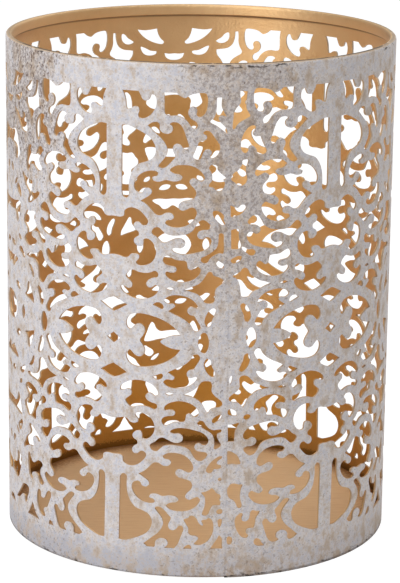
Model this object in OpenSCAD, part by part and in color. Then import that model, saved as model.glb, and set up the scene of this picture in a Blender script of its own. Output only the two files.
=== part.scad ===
// Tea light holder: a pierced sleeve of thin sheet steel with a round pan pressed into its foot.
// The origin is in the middle of the foot, on the table. +Z is up and the front faces -Y.

/* [Sleeve] */
// Outer diameter of the sleeve
sleeve_d = 100; // [80:1:140]
// Height of the sleeve, from the table to the top of its hem
sleeve_h = 130; // [100:1:180]
// Thickness of the sheet that the sleeve and the pan are made of
sheet_t = 0.6; // [0.4:0.1:1]

/* [Hem at the mouth] */
// Height of the band that is turned in and pressed flat
hem_h = 2.8; // [2:0.1:6]
// Air left between the band and the wall
hem_gap = 0.5; // [0.2:0.1:1]

/* [Seam] */
// Where the seam stands, in degrees from the front towards the right
seam_angle = 8.5; // [0:0.5:30]
// The motif's holes that would come nearer to the seam than this are left out. Others take their place
seam_zone = 2.6; // [2:0.1:3]

/* [Pattern] */
// Copies of the motif in one turn, of which the seam cuts the last short
repeats = 3.67; // [3.2:0.01:3.9]
// Plain band at the head, above the pattern
head_band = 6.6; // [5:0.1:12]
// Plain band at the foot, which cuts the lowest row short
foot_band = 7.8; // [6:0.1:15]
// A hole that the foot band would leave less of than this is left out
least_rest = 0.6; // [0.3:0.1:2]
// How much lower the pattern lies at the seam's left side than at its right
pattern_drop = 1.1; // [0:0.1:2]
// The pattern's lower half is drawn this much flatter than its upper half
lower_squeeze = 0.985; // [0.9:0.005:1]
// How far the pattern leans over to the left towards the foot
foot_lean = 0.65; // [0:0.05:2]
// How far a hole's straight sides may cut across its drawn outline
outline_slack = 0.7; // [0.4:0.1:0.8]

/* [Pan] */
// Height of the pan's top above the table
floor_h = 4; // [3:0.1:8]
// Outer radius of the bend where the pan turns down into its flange
pan_bend = 1.5; // [1.1:0.1:2.5]
// Air between the pan's flange and the sleeve
pan_clearance = 0.1; // [0.05:0.05:0.3]

/* [Hidden] */

// Sides of a drawn circle
smooth = 200;
// The pierced wall is bent in flats, this many in a turn
flats = 60;
// Overrun of the hole cutters past the sheet, which is curved
overrun = 2;

sleeve_r = sleeve_d / 2;
girth = PI * sleeve_d;
motif_w = girth / repeats;
joints = floor(repeats);
// From the seam to the axis of the motif next to it
end_run = (girth - joints * motif_w) / 2;
// Half the height of the pattern, which mirrors about its middle line
half_h = (sleeve_h - head_band) / 2;
// Outer radius of the hem's fold
fold_r = sheet_t + hem_gap / 2;
// How far the middle of a flat lies inside the circle through its corners
flat_depth = sleeve_r * (1 - cos(180 / flats));
// Radius that is free inside the wall and its head band
inner_r = sleeve_r - sheet_t - 2 * flat_depth;
// Where the wall's flats end, inside the round head band
flats_h = sleeve_h - hem_h;

// A quarter of the motif as drawn: its width to the right of its own axis, and its height above
// the middle line. All the outlines below are drawn in these units, so they are shares of a
// motif's half width and of the pattern's half height.
quarter_shares = [42.8, 61.5];
// An outline keeps corners that stand out by more than this share of its size, however small it is
corner_share = 0.1;

// Holes that lie whole in the quarter, from the top row down
side_shares = [
  // tall
  [[2, 53], [3.6, 53.1], [5.6, 52.4], [7.6, 51.5], [9.3, 50.4], [10.3, 49], [10.7, 47.4],
   [10.4, 46.2], [9.5, 45.1], [8, 44.4], [6.4, 43.8], [5.2, 42.6], [4.4, 41], [4, 39.2],
   [3.9, 37.2], [4, 36.1], [3.5, 35.3], [2.7, 35.3], [2.1, 36.1], [2, 37.5]],
  // t1
  [[2.1, 61.5], [6.4, 61.5], [7, 60.2], [7.6, 59.4], [8.7, 59.4], [9.2, 60.1], [9.5, 60.8],
   [10.3, 60.7], [10.8, 59.6], [10.7, 58.1], [10, 56.7], [8.8, 55.5], [7.4, 54.9], [6.4, 55.1],
   [6.2, 55.9], [6.5, 56.8], [6.2, 57.6], [5.2, 57.7], [4.3, 57.2], [3.4, 57], [3.1, 57.8],
   [3, 59], [2.7, 60.2]],
  // t2
  [[12.5, 61.5], [15.6, 61.5], [16.6, 60.7], [17.7, 60.3], [18.7, 60.9], [19.3, 61.2],
   [20.6, 61.5], [22.6, 61.5], [23.1, 60.4], [23.1, 58.6], [22.7, 57], [21.9, 56], [20.9, 55.8],
   [20.4, 56.4], [20.6, 57.4], [20.2, 58.1], [19.3, 58.2], [18.6, 57.5], [18.5, 56.4],
   [19.2, 55.3], [20.4, 54.6], [20.8, 53.7], [20.3, 52.9], [19.3, 53.2], [18.4, 54.5],
   [17.2, 55.5], [15.6, 56], [14.2, 55.9], [12.9, 56.3], [12.7, 58], [12.7, 60]],
  // t3
  [[24.9, 60.7], [25.8, 60.6], [25.9, 58.9], [26.6, 57], [28, 56], [29.8, 55.7], [31, 55.5],
   [30.9, 54.2], [29.8, 52.7], [29, 51.3], [28.3, 50.3], [27.5, 51.3], [26.7, 52.7], [25.4, 53.7],
   [24, 54.6], [23.8, 55.3], [24.4, 56.4], [24.8, 57.8], [24.8, 59.4]],
  // t4
  [[27.6, 60.3], [28.6, 60], [29.5, 59], [30.6, 58.3], [31.2, 57.8], [30.2, 57.3], [28.9, 57.4],
   [27.8, 58.2], [27.4, 59.3]],
  // t5
  [[32.2, 61.3], [34.6, 61], [37.9, 61.4], [38.2, 60], [38.9, 58.6], [39.9, 57.6], [39.5, 57],
   [38, 57.2], [36.1, 57.9], [34.4, 58.9], [33, 60.2]],
  // t6
  [[33.1, 56.5], [34.4, 56.1], [36, 55.3], [37.8, 55], [37.6, 54.3], [36.3, 53.9], [34.8, 54.1],
   [33.7, 54.9]],
  // fork
  [[8.6, 53.3], [9.7, 54.1], [11, 54.3], [11.6, 53.7], [11.6, 52.7], [12.1, 51.9], [13.2, 51.5],
   [14.3, 51.8], [14.8, 52.6], [14.6, 53.4], [14, 53.9], [14.8, 54.4], [16.2, 54.2], [17.2, 53.1],
   [17.8, 51.6], [18.3, 50.1], [18.7, 48.8], [18.2, 47.9], [17.4, 48], [16.8, 48.8], [15.9, 49.2],
   [15.1, 48.8], [14.8, 47.8], [15.3, 46.6], [15.4, 45.8], [14.7, 45], [13.9, 44.1], [13, 43.3],
   [12, 43.1], [11.3, 43.6], [12.2, 44.8], [13.2, 46.2], [13.5, 47.6], [13, 49], [12, 50.3],
   [10.6, 51.5]],
  // big
  [[14.1, 42.7], [15.2, 43.7], [17, 44.1], [19, 44], [20.8, 43.3], [22.1, 42.1], [22.6, 40.9],
   [21.9, 40.1], [20.9, 40.5], [19.8, 40.9], [18.9, 40.2], [19.3, 39.2], [20.2, 38.3],
   [20.6, 37.2], [20.1, 36], [18.8, 35.5], [17.3, 35.1], [16.4, 34.3], [16.5, 33.3], [17.4, 32.9],
   [18.6, 33.4], [19.7, 33.8], [20.6, 33.1], [20.7, 32], [20, 30.6], [18.5, 29.3], [16.5, 28.7],
   [14.5, 28.8], [13.1, 29.6], [13.5, 30.4], [14.7, 30.6], [15.2, 31.3], [14.6, 32.1],
   [13.3, 32.2], [12, 31.5], [10.8, 31.6], [9.8, 32.6], [8.5, 33.9], [6.9, 34.8], [8.3, 35.7],
   [9.5, 36.6], [9.7, 37.5], [8.9, 38.1], [7.9, 37.8], [7.4, 36.9], [6.5, 36.8], [5.5, 37.4],
   [5.2, 38.6], [5.7, 40], [6.8, 41.3], [8.5, 42.2], [10.3, 42.4], [11.3, 42], [11, 41.2],
   [9.9, 40.8], [10.2, 40], [11.6, 39.8], [13.2, 40.3], [15, 40], [16.6, 40.3], [17.2, 41.1],
   [16.5, 41.7], [15.2, 41.9]],
  // horn
  [[19.8, 46.3], [20, 45.3], [20.9, 45.1], [21.8, 45.8], [22.4, 47], [23.2, 47.7], [24.1, 47.4],
   [24.1, 46.4], [24.8, 45.7], [25.7, 46.2], [26.1, 47.6], [26.1, 49.2], [25.6, 50.7], [24.7, 52],
   [23.4, 52.7], [22.2, 52.4], [22.4, 51.6], [22.9, 50.7], [22.3, 50], [21.4, 49.7], [20.9, 48.8],
   [20.4, 47.6]],
  // yoke
  [[22.8, 43.4], [23.5, 44.3], [24.7, 44.2], [25.4, 43.3], [26, 42.2], [27.1, 41.8], [28.2, 42.1],
   [28.6, 42.9], [28.1, 43.7], [28.9, 44.1], [30, 43.4], [30.6, 42], [30.8, 40.3], [30.9, 38.7],
   [30.6, 37.3], [29.8, 37.1], [29.2, 38], [28.5, 39], [27.5, 39.2], [26.5, 38.5], [25.3, 38],
   [23.9, 38.2], [23.4, 38.9], [24.2, 39.9], [24.5, 41.2], [23.9, 42.2]],
  // claw
  [[24.5, 32.6], [25.4, 32.9], [26.3, 32.2], [27.5, 32], [28.2, 32.8], [27.9, 33.9], [27.8, 34.8],
   [29, 35.1], [30.5, 35.3], [31.8, 35.9], [33, 36.6], [33.4, 35.7], [32.6, 34.6], [31.9, 33.4],
   [30.9, 32.6], [29.9, 31.9], [29.5, 31], [30.2, 30], [30, 29.1], [28.8, 29.2], [27.2, 30.1],
   [25.7, 31], [24.7, 31.9]],
  // twin
  [[9.7, 27.3], [10.3, 28.3], [11.4, 28.6], [12.3, 27.9], [13.2, 27.1], [14.8, 26.7],
   [16.8, 26.8], [18.6, 27.2], [19.8, 28], [20.5, 29.2], [21.4, 30.4], [22.5, 30.7], [23.6, 30],
   [24.2, 29], [23.6, 28.3], [22.3, 28.2], [21.3, 27.8], [20.9, 27], [21.3, 26.2], [22.2, 26],
   [23, 26.5], [23.9, 26.4], [24.4, 25.5], [23.9, 24.2], [22.7, 23.2], [20.9, 22.6], [19, 22.2],
   [17, 22.1], [15.3, 22.6], [14.8, 23.3], [15.7, 23.7], [17, 23.6], [17.9, 24.3], [17.9, 25.3],
   [16.9, 26], [15.5, 25.9], [14.2, 25.3], [13, 24.8], [12, 25.1], [11, 26.1], [10.1, 26.6]],
  // fish
  [[12.6, 20.2], [12.8, 21.2], [13.6, 21.7], [14.6, 21.3], [15.8, 20.7], [17.2, 20.6],
   [18.3, 20.4], [18.6, 19.5], [18.8, 18.6], [19.6, 18.3], [20.3, 18.9], [21.1, 19.2],
   [21.8, 18.5], [21.6, 17.3], [20.6, 16.2], [19, 15.4], [17.1, 15.1], [15.3, 15.4], [13.9, 16.1],
   [13.2, 17], [13.5, 17.7], [14.5, 17.5], [15.5, 17.6], [16, 18.2], [15.6, 18.9], [14.5, 19.1],
   [13.3, 19.4]],
  // ring
  [[22, 20.6], [23, 19.9], [24, 20.3], [24.7, 21.3], [25.6, 22.2], [26.9, 22.4], [28, 22],
   [28.3, 21.2], [27.6, 20.6], [26.4, 20.5], [25.8, 19.9], [26.8, 18.9], [28.5, 18.2],
   [30.4, 18.1], [31.9, 18.7], [32.4, 19.6], [31.7, 20.5], [30.8, 21.2], [30.7, 22.1],
   [31.6, 22.8], [32.6, 23.6], [32.6, 24.8], [31.8, 25.8], [31.3, 26.6], [30.6, 27.1], [29.2, 27],
   [27.7, 27.3], [26.5, 27.1], [26.5, 26], [26.5, 24.9], [25.9, 23.8], [24.8, 22.8], [23.4, 22.1],
   [22.3, 21.5]],
  // vase
  [[3.2, 15.8], [3.9, 17], [5, 17.6], [6.4, 17.2], [8, 17], [9.4, 17.2], [10.7, 17.7],
   [11.5, 17.1], [11.3, 16.2], [10.2, 15.9], [9, 15.3], [8.5, 14.3], [9.1, 13.5], [10, 13.6],
   [10.9, 14.2], [11.7, 13.6], [11.4, 12.5], [10.3, 11.3], [8.7, 10.6], [7, 10.3], [5.2, 10.5],
   [3.4, 11.2], [2.1, 12.2], [1.8, 13.2], [2.7, 13.4], [3.8, 12.9], [4.7, 13.2], [4.8, 14.2],
   [4, 15]],
  // drop
  [[10.1, 9.2], [11.2, 9.9], [12.3, 9.7], [12.9, 8.8], [12.5, 8.2], [11.4, 8.6]],
  // seed
  [[13.3, 13.4], [14.4, 13.8], [15.6, 13.3], [14.5, 13]],
  // hook
  [[12.9, 10.3], [13.7, 11.3], [15.4, 11.9], [17.4, 11.8], [19.3, 11.2], [20.7, 10.1],
   [21.4, 8.8], [20.6, 8.8], [19.6, 9.1], [18.8, 8.5], [18.8, 7.6], [19.5, 7], [20.4, 6.8],
   [20.9, 6], [21.6, 4.9], [22, 3.8], [21.3, 2.9], [20.3, 3.1], [19.6, 4.3], [18.5, 5.4],
   [17, 6.3], [15.5, 7], [14, 7.8], [15, 8.5], [15.7, 9.1], [15.2, 9.7], [13.9, 9.6]],
  // kite
  [[17.8, 13.3], [19.2, 14], [20.8, 14.7], [22.1, 15.6], [22.9, 16.7], [23.4, 17.8], [24.4, 18],
   [25.3, 17.2], [26.6, 16.7], [28.2, 16.4], [29.8, 16.2], [31, 15.4], [29.6, 15], [28.1, 15.2],
   [26.7, 14.8], [25.7, 13.8], [25.3, 12.3], [25.2, 10.8], [24.4, 9.9], [23.1, 9.9], [22.1, 10.9],
   [21.2, 12.1], [19.9, 12.8]],
  // leaf
  [[22.9, 5.2], [23.2, 6.8], [24, 8.1], [25, 8.8], [25.7, 8.3], [25.4, 7.1], [24.8, 5.8],
   [24.5, 4.4], [23.6, 4]],
  // wing
  [[27.3, 3.5], [27.5, 5], [28.3, 6.3], [29.1, 7.6], [30, 8.8], [30.7, 8.2], [30.9, 6.8],
   [31.6, 5.7], [32.3, 5], [31.1, 4.5], [29.4, 4.1]],
  // nail
  [[27.4, 10.2], [27.3, 11.3], [27.9, 12.5], [28.9, 13.3], [30, 13.3], [29.5, 12.5], [28.7, 11.6],
   [28.2, 10.6]],
  // rung
  [[32, 14.5], [32.9, 15.8], [34.2, 16.8], [35.9, 16.4], [35.7, 15.5], [34.4, 15], [33.2, 14.2]],
  // pip
  [[34.2, 18.6], [34.7, 19.6], [36, 19.9], [36.1, 19], [35.2, 18.4]],
  // lens
  [[35, 5.5], [35.8, 6.8], [37.1, 7.3], [38.5, 6.8], [37.8, 5.8], [36.4, 5.2]],
  // crab
  [[30.2, 47.2], [30.4, 48.6], [31, 49.7], [31.3, 50.9], [32.2, 51.7], [33, 51.1], [33.1, 50.2],
   [34, 49.8], [35, 50.5], [36.2, 51.4], [37.6, 51.9], [38.6, 51.8], [37.6, 50.7], [36.2, 49.4],
   [34.9, 48], [33.8, 46.9], [32.5, 46.6], [31.1, 46.6]],
  // bean
  [[34, 29.9], [34.4, 31.4], [35.3, 32.5], [36.6, 32.8], [37.4, 31.8], [36.8, 30.7], [35.7, 30],
   [34.8, 29.4]],
  // spur
  [[36.4, 33.8], [37.4, 34], [38.6, 33], [38.9, 32], [37.8, 32.3], [36.9, 33]],
  // tear
  [[39.6, 35.7], [40.3, 36.9], [41.4, 37.4], [42, 36.4], [41.4, 35.4], [40.4, 35.1]],
  // bud
  [[38.7, 16.1], [39.5, 17.2], [41, 17.5], [42.1, 17.1], [41.6, 16.2], [40.2, 15.8]]
];
// Holes across the motif's own axis: the half of each from its top point to its bottom point
axis_shares = [
  // crown
  [[0, 30.5], [1.6, 30.4], [2.6, 30.8], [2.8, 32.1], [4.4, 33], [6.4, 32.6], [8, 31.3],
   [8.9, 29.9], [8.4, 28.9], [7.4, 28.8], [6.6, 29.5], [5.7, 29.5], [5.2, 28.7], [5.6, 27.7],
   [6.5, 27.1], [6.5, 26.2], [5.5, 25.5], [5.3, 24.6], [6.1, 23.7], [7.3, 23.6], [7.7, 24.5],
   [7.8, 25.4], [8.8, 25.6], [10, 24.8], [10.8, 23.4], [10.9, 21.9], [10.3, 20.4], [9.2, 19.3],
   [7.8, 18.8], [6.4, 18.8], [5.8, 19.5], [6.5, 20.4], [6.6, 21.2], [5.7, 21.6], [4.5, 21.4],
   [3.9, 20.7], [2.8, 20.4], [1.6, 20.7], [0, 20.9]],
  // gem
  [[0, 10.3], [1.5, 9.8], [2.7, 9.1], [3.7, 8.7], [2.7, 8.1], [1.4, 7.3], [0, 6.6]]
];
// Holes across the line where two motifs meet, from top point to bottom point
joint_shares = [
  // t7
  [[42.8, 54.4], [41.4, 54.3], [40, 54.5], [40.4, 53.4], [41.4, 52.7], [42.8, 52.5]],
  // cup
  [[42.8, 27.6], [40.6, 27.7], [38.5, 27.9], [36.4, 28.3], [34.6, 28.1], [34.7, 26.9],
   [35.4, 25.2], [36, 23.6], [36.8, 22.5], [37.6, 23.2], [38.2, 24.6], [39.4, 25.4], [41, 25.3],
   [42.8, 25.2]],
  // gate
  [[42.8, 45.6], [41.2, 45.8], [39.8, 46.4], [38.2, 46.6], [36.9, 45.8], [36, 44.2], [35.3, 42.4],
   [34.8, 40.7], [35.6, 39.7], [36.9, 39], [38.1, 38.9], [38.2, 39.9], [38, 41.2], [38.9, 42.3],
   [40.6, 42.6], [42.8, 42.8]],
  // base
  [[42.8, 13.4], [40.8, 13.3], [38.6, 13.5], [36.8, 13.1], [37.6, 12.2], [38.9, 11.5], [40, 10.4],
   [41.2, 10.5], [42.8, 11.4]]
];
// Holes across the middle line: the half of each above it
middle_shares = [
  // mid
  [[6.9, 0], [7.6, 1.1], [8.2, 2.3], [8, 3.4], [7.1, 4.1], [6, 4], [5.1, 3.2], [4.4, 2.6],
   [3.6, 3], [3.3, 4.1], [3.7, 5.4], [4.8, 6.4], [7, 6.8], [9.5, 6.5], [12, 5.8], [14.2, 4.7],
   [16, 3.3], [17.1, 1.8], [15.6, 1.7], [13.9, 1.2], [12.1, 0]],
  // oval
  [[21.4, 0], [21.6, 1.3], [22.4, 2.5], [23.3, 2.5], [23.9, 1.3], [24.1, 0]],
  // slit
  [[32.3, 0], [32.6, 1.2], [33.3, 1.9], [34, 1.2], [34.3, 0]]
];
// The diamond in the middle of the motif: a quarter of it, from its top point to its right point
stud_shares = [[0, 1.4], [0.9, 0.7], [1.8, 0]];
// The slot between two motifs on the middle line: a quarter of it, from its top to its left point
slot_shares = [[42.8, 3.7], [40.6, 3.5], [39.1, 2.8], [38, 1.5], [37.5, 0]];
// The holes along the seam, to the right and to the left of it. Each point is given by its distance
// to the seam, as a share like those of the quarter, and by its height in a pattern this high
seam_h_share = 123.4;
right_of_seam_shares = [
  // fan
  [[2.2, 123.4], [4.1, 123.3], [3.9, 121.8], [3.8, 120.3], [3.9, 119], [4.5, 118], [4.8, 117.2],
   [3.6, 116.5], [2.3, 115.8], [1.5, 115], [1, 114.2], [0.5, 114.2], [0.45, 115.6], [0.6, 117],
   [0.7, 118.1], [1.3, 119.3], [2.1, 120.2], [2.4, 121], [2.2, 122.2]],
  // horn
  [[2.5, 110.4], [2.8, 112.2], [3.5, 113.6], [4.4, 114.6], [5.4, 115], [6.2, 114.7], [6, 113.8],
   [5.5, 113], [6.1, 112.3], [7.4, 112.3], [7.9, 111.2], [8.5, 109.9], [9.1, 108.8], [8.8, 108],
   [7.7, 107.8], [6.7, 108.2], [6.3, 109.3], [5.4, 110.1], [4.6, 109.8], [4.4, 108.8], [3.8, 108.2],
   [3.1, 108.5], [2.6, 109.3]],
  // yoke
  [[3, 106.5], [4.4, 106.7], [4.3, 105.6], [3.9, 104.5], [4, 103.2], [4.3, 102], [4, 101],
   [3.1, 100.3], [2.1, 100.4], [1.2, 101.1], [0.3, 101.8], [0.5, 102.9], [1, 103.6], [1.9, 104.1],
   [2.5, 104.9], [2.9, 105.6]],
  // claw
  [[0.2, 95.5], [1, 95.2], [2, 94.9], [2.8, 95.6], [3.6, 95.6], [4.1, 94.9], [3.6, 94.1],
   [2.9, 93.3], [1.9, 92.9], [0.9, 92.6], [0.3, 92.7], [0.25, 93.8], [0.2, 94.7]],
  // slab
  [[0.4, 89.4], [1.4, 89.7], [2.4, 89.5], [2.4, 88.2], [2.6, 86.9], [3, 85.7], [2.8, 84.8],
   [1.8, 84.6], [0.5, 84.7]],
  // toe
  [[3.1, 85.2], [3.8, 85.1], [4.7, 84.5], [5.8, 84.6], [6.7, 83.8], [6.3, 83], [5.3, 82.9],
   [4.4, 83.6], [3.4, 84.4]],
  // chip
  [[0.4, 82], [1.3, 82.6], [2.3, 83], [3.2, 82.8], [3, 81.9], [2.1, 81.3], [0.9, 81.1]],
  // kite
  [[1, 77.9], [1.7, 78.6], [2.7, 78.9], [3.3, 79.7], [4.1, 80], [4.9, 79.4], [5.5, 78.2],
   [6.6, 77.4], [7.9, 76.6], [9.3, 76.2], [10.9, 75.6], [9.3, 75.1], [7.8, 74.4], [6.5, 74],
   [5.6, 73.3], [5, 72.6], [3.3, 72.7], [3, 74], [2.8, 75.4], [2.4, 76.6], [1.9, 77.3]],
  // nail
  [[0.5, 51.6], [0.9, 52.7], [1.3, 52.5], [1.2, 51.3], [0.8, 50.5]],
  // low kite
  [[3.1, 52.2], [4.1, 52.7], [5.2, 52.4], [6.1, 51.5], [7, 50.6], [8.2, 50.1], [9.4, 49.5],
   [10.9, 49], [9.3, 48.8], [7.6, 48.5], [6.2, 47.5], [5.2, 46.5], [4.6, 45.2], [4, 44.6],
   [3.4, 45.2], [2.6, 45.8], [1.4, 45.9], [0.5, 46.4], [0.6, 47.2], [1.5, 48], [2.5, 48.7],
   [3.1, 49.6], [3.1, 50.9]],
  // low chip
  [[0.3, 43.8], [0.9, 44.2], [1.8, 43.9], [2.5, 43.2], [2.5, 42.4], [1.6, 42.4], [0.4, 42.7]],
  // crumb
  [[4.2, 42], [4.8, 42.6], [5.8, 42.5], [6.1, 41.9], [5.5, 41.3], [4.6, 41.3]],
  // low slab
  [[0.3, 40.2], [1.6, 40.2], [3.2, 40.5], [2.7, 39.4], [2.2, 38.3], [2.1, 37], [2, 35.7],
   [0.4, 35.7]],
  // low claw
  [[0.3, 33.2], [0.9, 33.3], [1.9, 32.8], [2.8, 32.1], [3.4, 31], [3.7, 29.9], [2.9, 29.7],
   [1.8, 29.9], [0.4, 29.8]],
  // low yoke
  [[0.5, 23.6], [1.3, 24.7], [2.3, 24.8], [3.3, 24.5], [4.3, 24.4], [3.9, 23.2], [3.7, 21.8],
   [3.8, 20.4], [4.2, 19], [3.9, 18.3], [3.1, 18.4], [2.7, 19.3], [2.1, 20.3], [1.2, 20.8],
   [0.6, 21.6], [0.4, 22.6]],
  // low horn
  [[2.4, 14.6], [2.6, 15.8], [3.3, 16.6], [4.1, 17], [4.5, 16.5], [4.2, 15.7], [4.4, 14.9],
   [5.2, 14.7], [5.9, 15.1], [6.2, 16], [6.4, 17.1], [7, 17.5], [8, 17.2], [8.9, 17.1], [8.6, 16.3],
   [7.9, 15.2], [7.7, 13.8], [7.3, 12.8], [6.3, 12.8], [5.5, 12.5], [5.4, 11.6], [6, 10.9],
   [5.6, 10.3], [4.6, 10.4], [3.6, 11.3], [2.8, 12.8]],
  // stub
  [[0.5, 10.6], [1, 10.9], [1.7, 10.6], [1.9, 9.7], [1.6, 8.9], [1, 8.7], [0.5, 9.3]]
];
left_of_seam_shares = [
  // fan
  [[-3.4, 121.9], [-2.1, 121.9], [-2.2, 120.7], [-2.2, 119.6], [-1.7, 118.5], [-0.95, 117.2],
   [-2, 117.5], [-2.6, 117.4], [-2.9, 116.8], [-2.6, 116], [-1.9, 115.3], [-1.1, 114.4],
   [-0.7, 113], [-1.9, 113.9], [-3.4, 115], [-4.9, 115.8], [-4.9, 116.3], [-4.2, 116.8],
   [-3.8, 117.6], [-3.5, 118.8], [-3.4, 120.4]],
  // horn
  [[-6.6, 113.4], [-5.9, 113.9], [-5, 113.7], [-4.2, 112.8], [-3.4, 111.6], [-2.6, 110.5],
   [-2.5, 109.4], [-2.8, 108.3], [-3.6, 107.4], [-4.5, 107.1], [-4.9, 107.6], [-4.5, 108.5],
   [-4.9, 109.2], [-6, 109.2], [-6.6, 108.3], [-7.1, 107], [-8, 106.7], [-9, 107.3], [-8.5, 108.8],
   [-7.9, 110.3], [-7.5, 111.1], [-6.6, 111.4], [-5.8, 111.8], [-5.7, 112.6], [-6.3, 112.9]],
  // yoke
  [[-4.8, 105.4], [-3.9, 105.6], [-3.1, 105.2], [-3, 104.3], [-2.5, 103.7], [-1.7, 103],
   [-0.9, 102.2], [-1.6, 101.8], [-1.2, 101.2], [-1.3, 100.3], [-1.8, 99.4], [-2.6, 99],
   [-3.4, 99.3], [-4, 99.9], [-5.1, 100.2], [-5, 100.9], [-4.4, 101.6], [-4.3, 102.8],
   [-4.6, 103.8], [-5.1, 104.6]],
  // claw
  [[-4.1, 94], [-3.5, 94.3], [-2.8, 94.2], [-1.9, 93.7], [-1.3, 92.8], [-1.4, 91.9], [-1, 91],
   [-1.5, 90.6], [-2.3, 91], [-3.2, 91.9], [-3.9, 92.9]],
  // boot
  [[-2.5, 88.5], [-1.8, 88.7], [-1.3, 88.2], [-1.3, 86.6], [-1.2, 85], [-1.4, 83.6], [-2.3, 83.7],
   [-3.3, 83.3], [-4.6, 82.4], [-5.1, 81.5], [-6, 81.2], [-6.8, 81.7], [-6.7, 82.6], [-5.6, 83.1],
   [-4.1, 84.1], [-3.1, 85], [-2.7, 86.2], [-2.6, 87.4]],
  // chip
  [[-3.1, 81.2], [-2.6, 81.8], [-2, 81.5], [-1.2, 80.9], [-1.3, 80], [-2, 79.9], [-2.7, 80.4]],
  // kite
  [[-10.9, 74.5], [-9, 75.3], [-7.4, 76], [-6.3, 77], [-5.6, 78.2], [-4.9, 79.1], [-4.1, 79],
   [-3.7, 78.2], [-2.5, 77.8], [-1.5, 77.2], [-1.1, 76.6], [-2, 75.7], [-2.9, 75], [-3.3, 74],
   [-3.3, 72.6], [-3.5, 71.5], [-4.6, 71.1], [-5.7, 71.3], [-6.5, 72.3], [-7.4, 73.3], [-8.8, 73.9]],
  // low kite
  [[-10.9, 47.9], [-9, 48.7], [-7.8, 49.5], [-7, 50.4], [-6.2, 51.3], [-5.2, 51.5], [-4.1, 51.3],
   [-3.7, 50.3], [-3.8, 48.9], [-3.1, 47.8], [-2.2, 47], [-1.3, 46.2], [-1.1, 45.3], [-1.8, 44.7],
   [-3, 44.6], [-4.1, 44.1], [-4.7, 43.3], [-5.3, 44], [-6.1, 45.5], [-7.2, 46.6], [-9, 47.5]],
  // low chip
  [[-3.6, 41.5], [-2.9, 42.3], [-1.9, 42.8], [-1.2, 42.6], [-1.4, 41.8], [-2.2, 41.2], [-3.1, 40.6],
   [-3.6, 40.8]],
  // low boot
  [[-7.3, 40.6], [-6.7, 41.3], [-5.8, 41.2], [-5.2, 40.3], [-4.4, 39.4], [-3.3, 38.9], [-2.2, 39],
   [-1.3, 39], [-1.3, 38.3], [-2.2, 37.9], [-2.3, 37], [-1.8, 36], [-1.3, 35], [-1.8, 34.3],
   [-3, 33.9], [-3, 35.3], [-3.1, 36.7], [-3.7, 37.9], [-5, 38.8], [-6.4, 39.7]],
  // low claw
  [[-5, 28.6], [-4.5, 29.6], [-3.6, 30.8], [-2.6, 31.6], [-1.7, 32.1], [-0.9, 32], [-1.2, 31.4],
   [-2, 30.9], [-2.3, 30.2], [-1.9, 29.9], [-1.3, 29.8], [-1.3, 29], [-2.1, 28.7], [-3, 28.7],
   [-3.4, 28], [-4.2, 27.7], [-4.8, 28]],
  // speck
  [[-2, 26], [-1.7, 26.5], [-1.2, 26.4], [-1.1, 25.9], [-1.5, 25.6]],
  // low yoke
  [[-6.1, 22.6], [-5.2, 22.9], [-4.3, 23.2], [-3.5, 23.8], [-2.9, 23.4], [-2.4, 22.6], [-1.5, 22.1],
   [-1.2, 21.4], [-1.5, 20.7], [-1.2, 20], [-1.4, 19.3], [-2.4, 19.3], [-3.3, 19.1], [-3.9, 17.9],
   [-4.4, 16.8], [-5.4, 16.6], [-5.9, 17.1], [-5.4, 18.4], [-5.1, 19.9], [-5.2, 21.4]],
  // bead
  [[-2.3, 17.7], [-1.8, 18.2], [-1.2, 18.3], [-0.7, 17.9], [-0.8, 17.2], [-1.4, 16.9], [-2, 17.1]],
  // seed
  [[-1.9, 15.2], [-1.5, 15.7], [-0.9, 15.6], [-0.8, 14.8], [-1.1, 13.8], [-1.5, 13.4], [-1.8, 14.2]],
  // low horn
  [[-10.4, 15.5], [-9.5, 15.9], [-8.6, 16.1], [-7.8, 15.9], [-7.5, 14.9], [-7.1, 13.8],
   [-6.4, 13.3], [-5.6, 13.6], [-5.6, 14.4], [-6, 15.2], [-5.2, 15.6], [-4.4, 15.4], [-3.9, 14.6],
   [-3.6, 13.2], [-3.7, 11.9], [-4.2, 10.6], [-5.1, 9.4], [-6.3, 8.8], [-7.8, 9.1], [-7.2, 9.9],
   [-6.7, 10.6], [-7.3, 11.2], [-8.6, 11.4], [-9.2, 12], [-9.2, 13.2], [-9.8, 14.3]],
  // wedge
  [[-1.5, 11.4], [-0.8, 10.5], [-0.7, 8.8], [-0.6, 7.4], [-2, 7.3], [-4, 7.4], [-3.2, 8.7],
   [-2.3, 10]]
];

// Angle in degrees that an arc of the sleeve's outer surface spans
function arc_angle(arc) = arc / sleeve_r * 180 / PI;

// Where a point of the quarter lies on the flat sheet: the arc from the seam, and the height
function on_motif(p, motif, side, half) =
  let (across = side * p.x / quarter_shares.x * motif_w / 2)
  let (rise = half * p.y / quarter_shares.y * half_h * (half > 0 ? 1 : lower_squeeze))
  let (arc = end_run + motif * motif_w + across)
  [arc - foot_lean * max(0, -rise / half_h) ^ 2, half_h + pattern_drop * (1 / 2 - arc / girth) + rise];

// Where a point beside the seam lies on the flat sheet, from an edge of the sheet at start
function beside_seam(p, start) =
  [start + p.x / quarter_shares.x * motif_w / 2, p.y / seam_h_share * 2 * half_h];

// An outline's points, then the mirror images of those that are off the upright line at x
function left_and_right(points, x) =
  concat(points, [for (i = [len(points) - 1 : -1 : 0]) if (points[i].x != x)
    [2 * x - points[i].x, points[i].y]]);

// An outline's points, then the mirror images of those that are off the middle line
function up_and_down(points) =
  concat(points, [for (i = [len(points) - 1 : -1 : 0]) if (points[i].y != 0)
    [points[i].x, -points[i].y]]);

// The area inside an outline
function area(p) =
  abs([for (i = [0 : len(p) - 1]) cross(p[i], p[(i + 1) % len(p)])] * [for (q = p) 1]) / 2;

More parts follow.
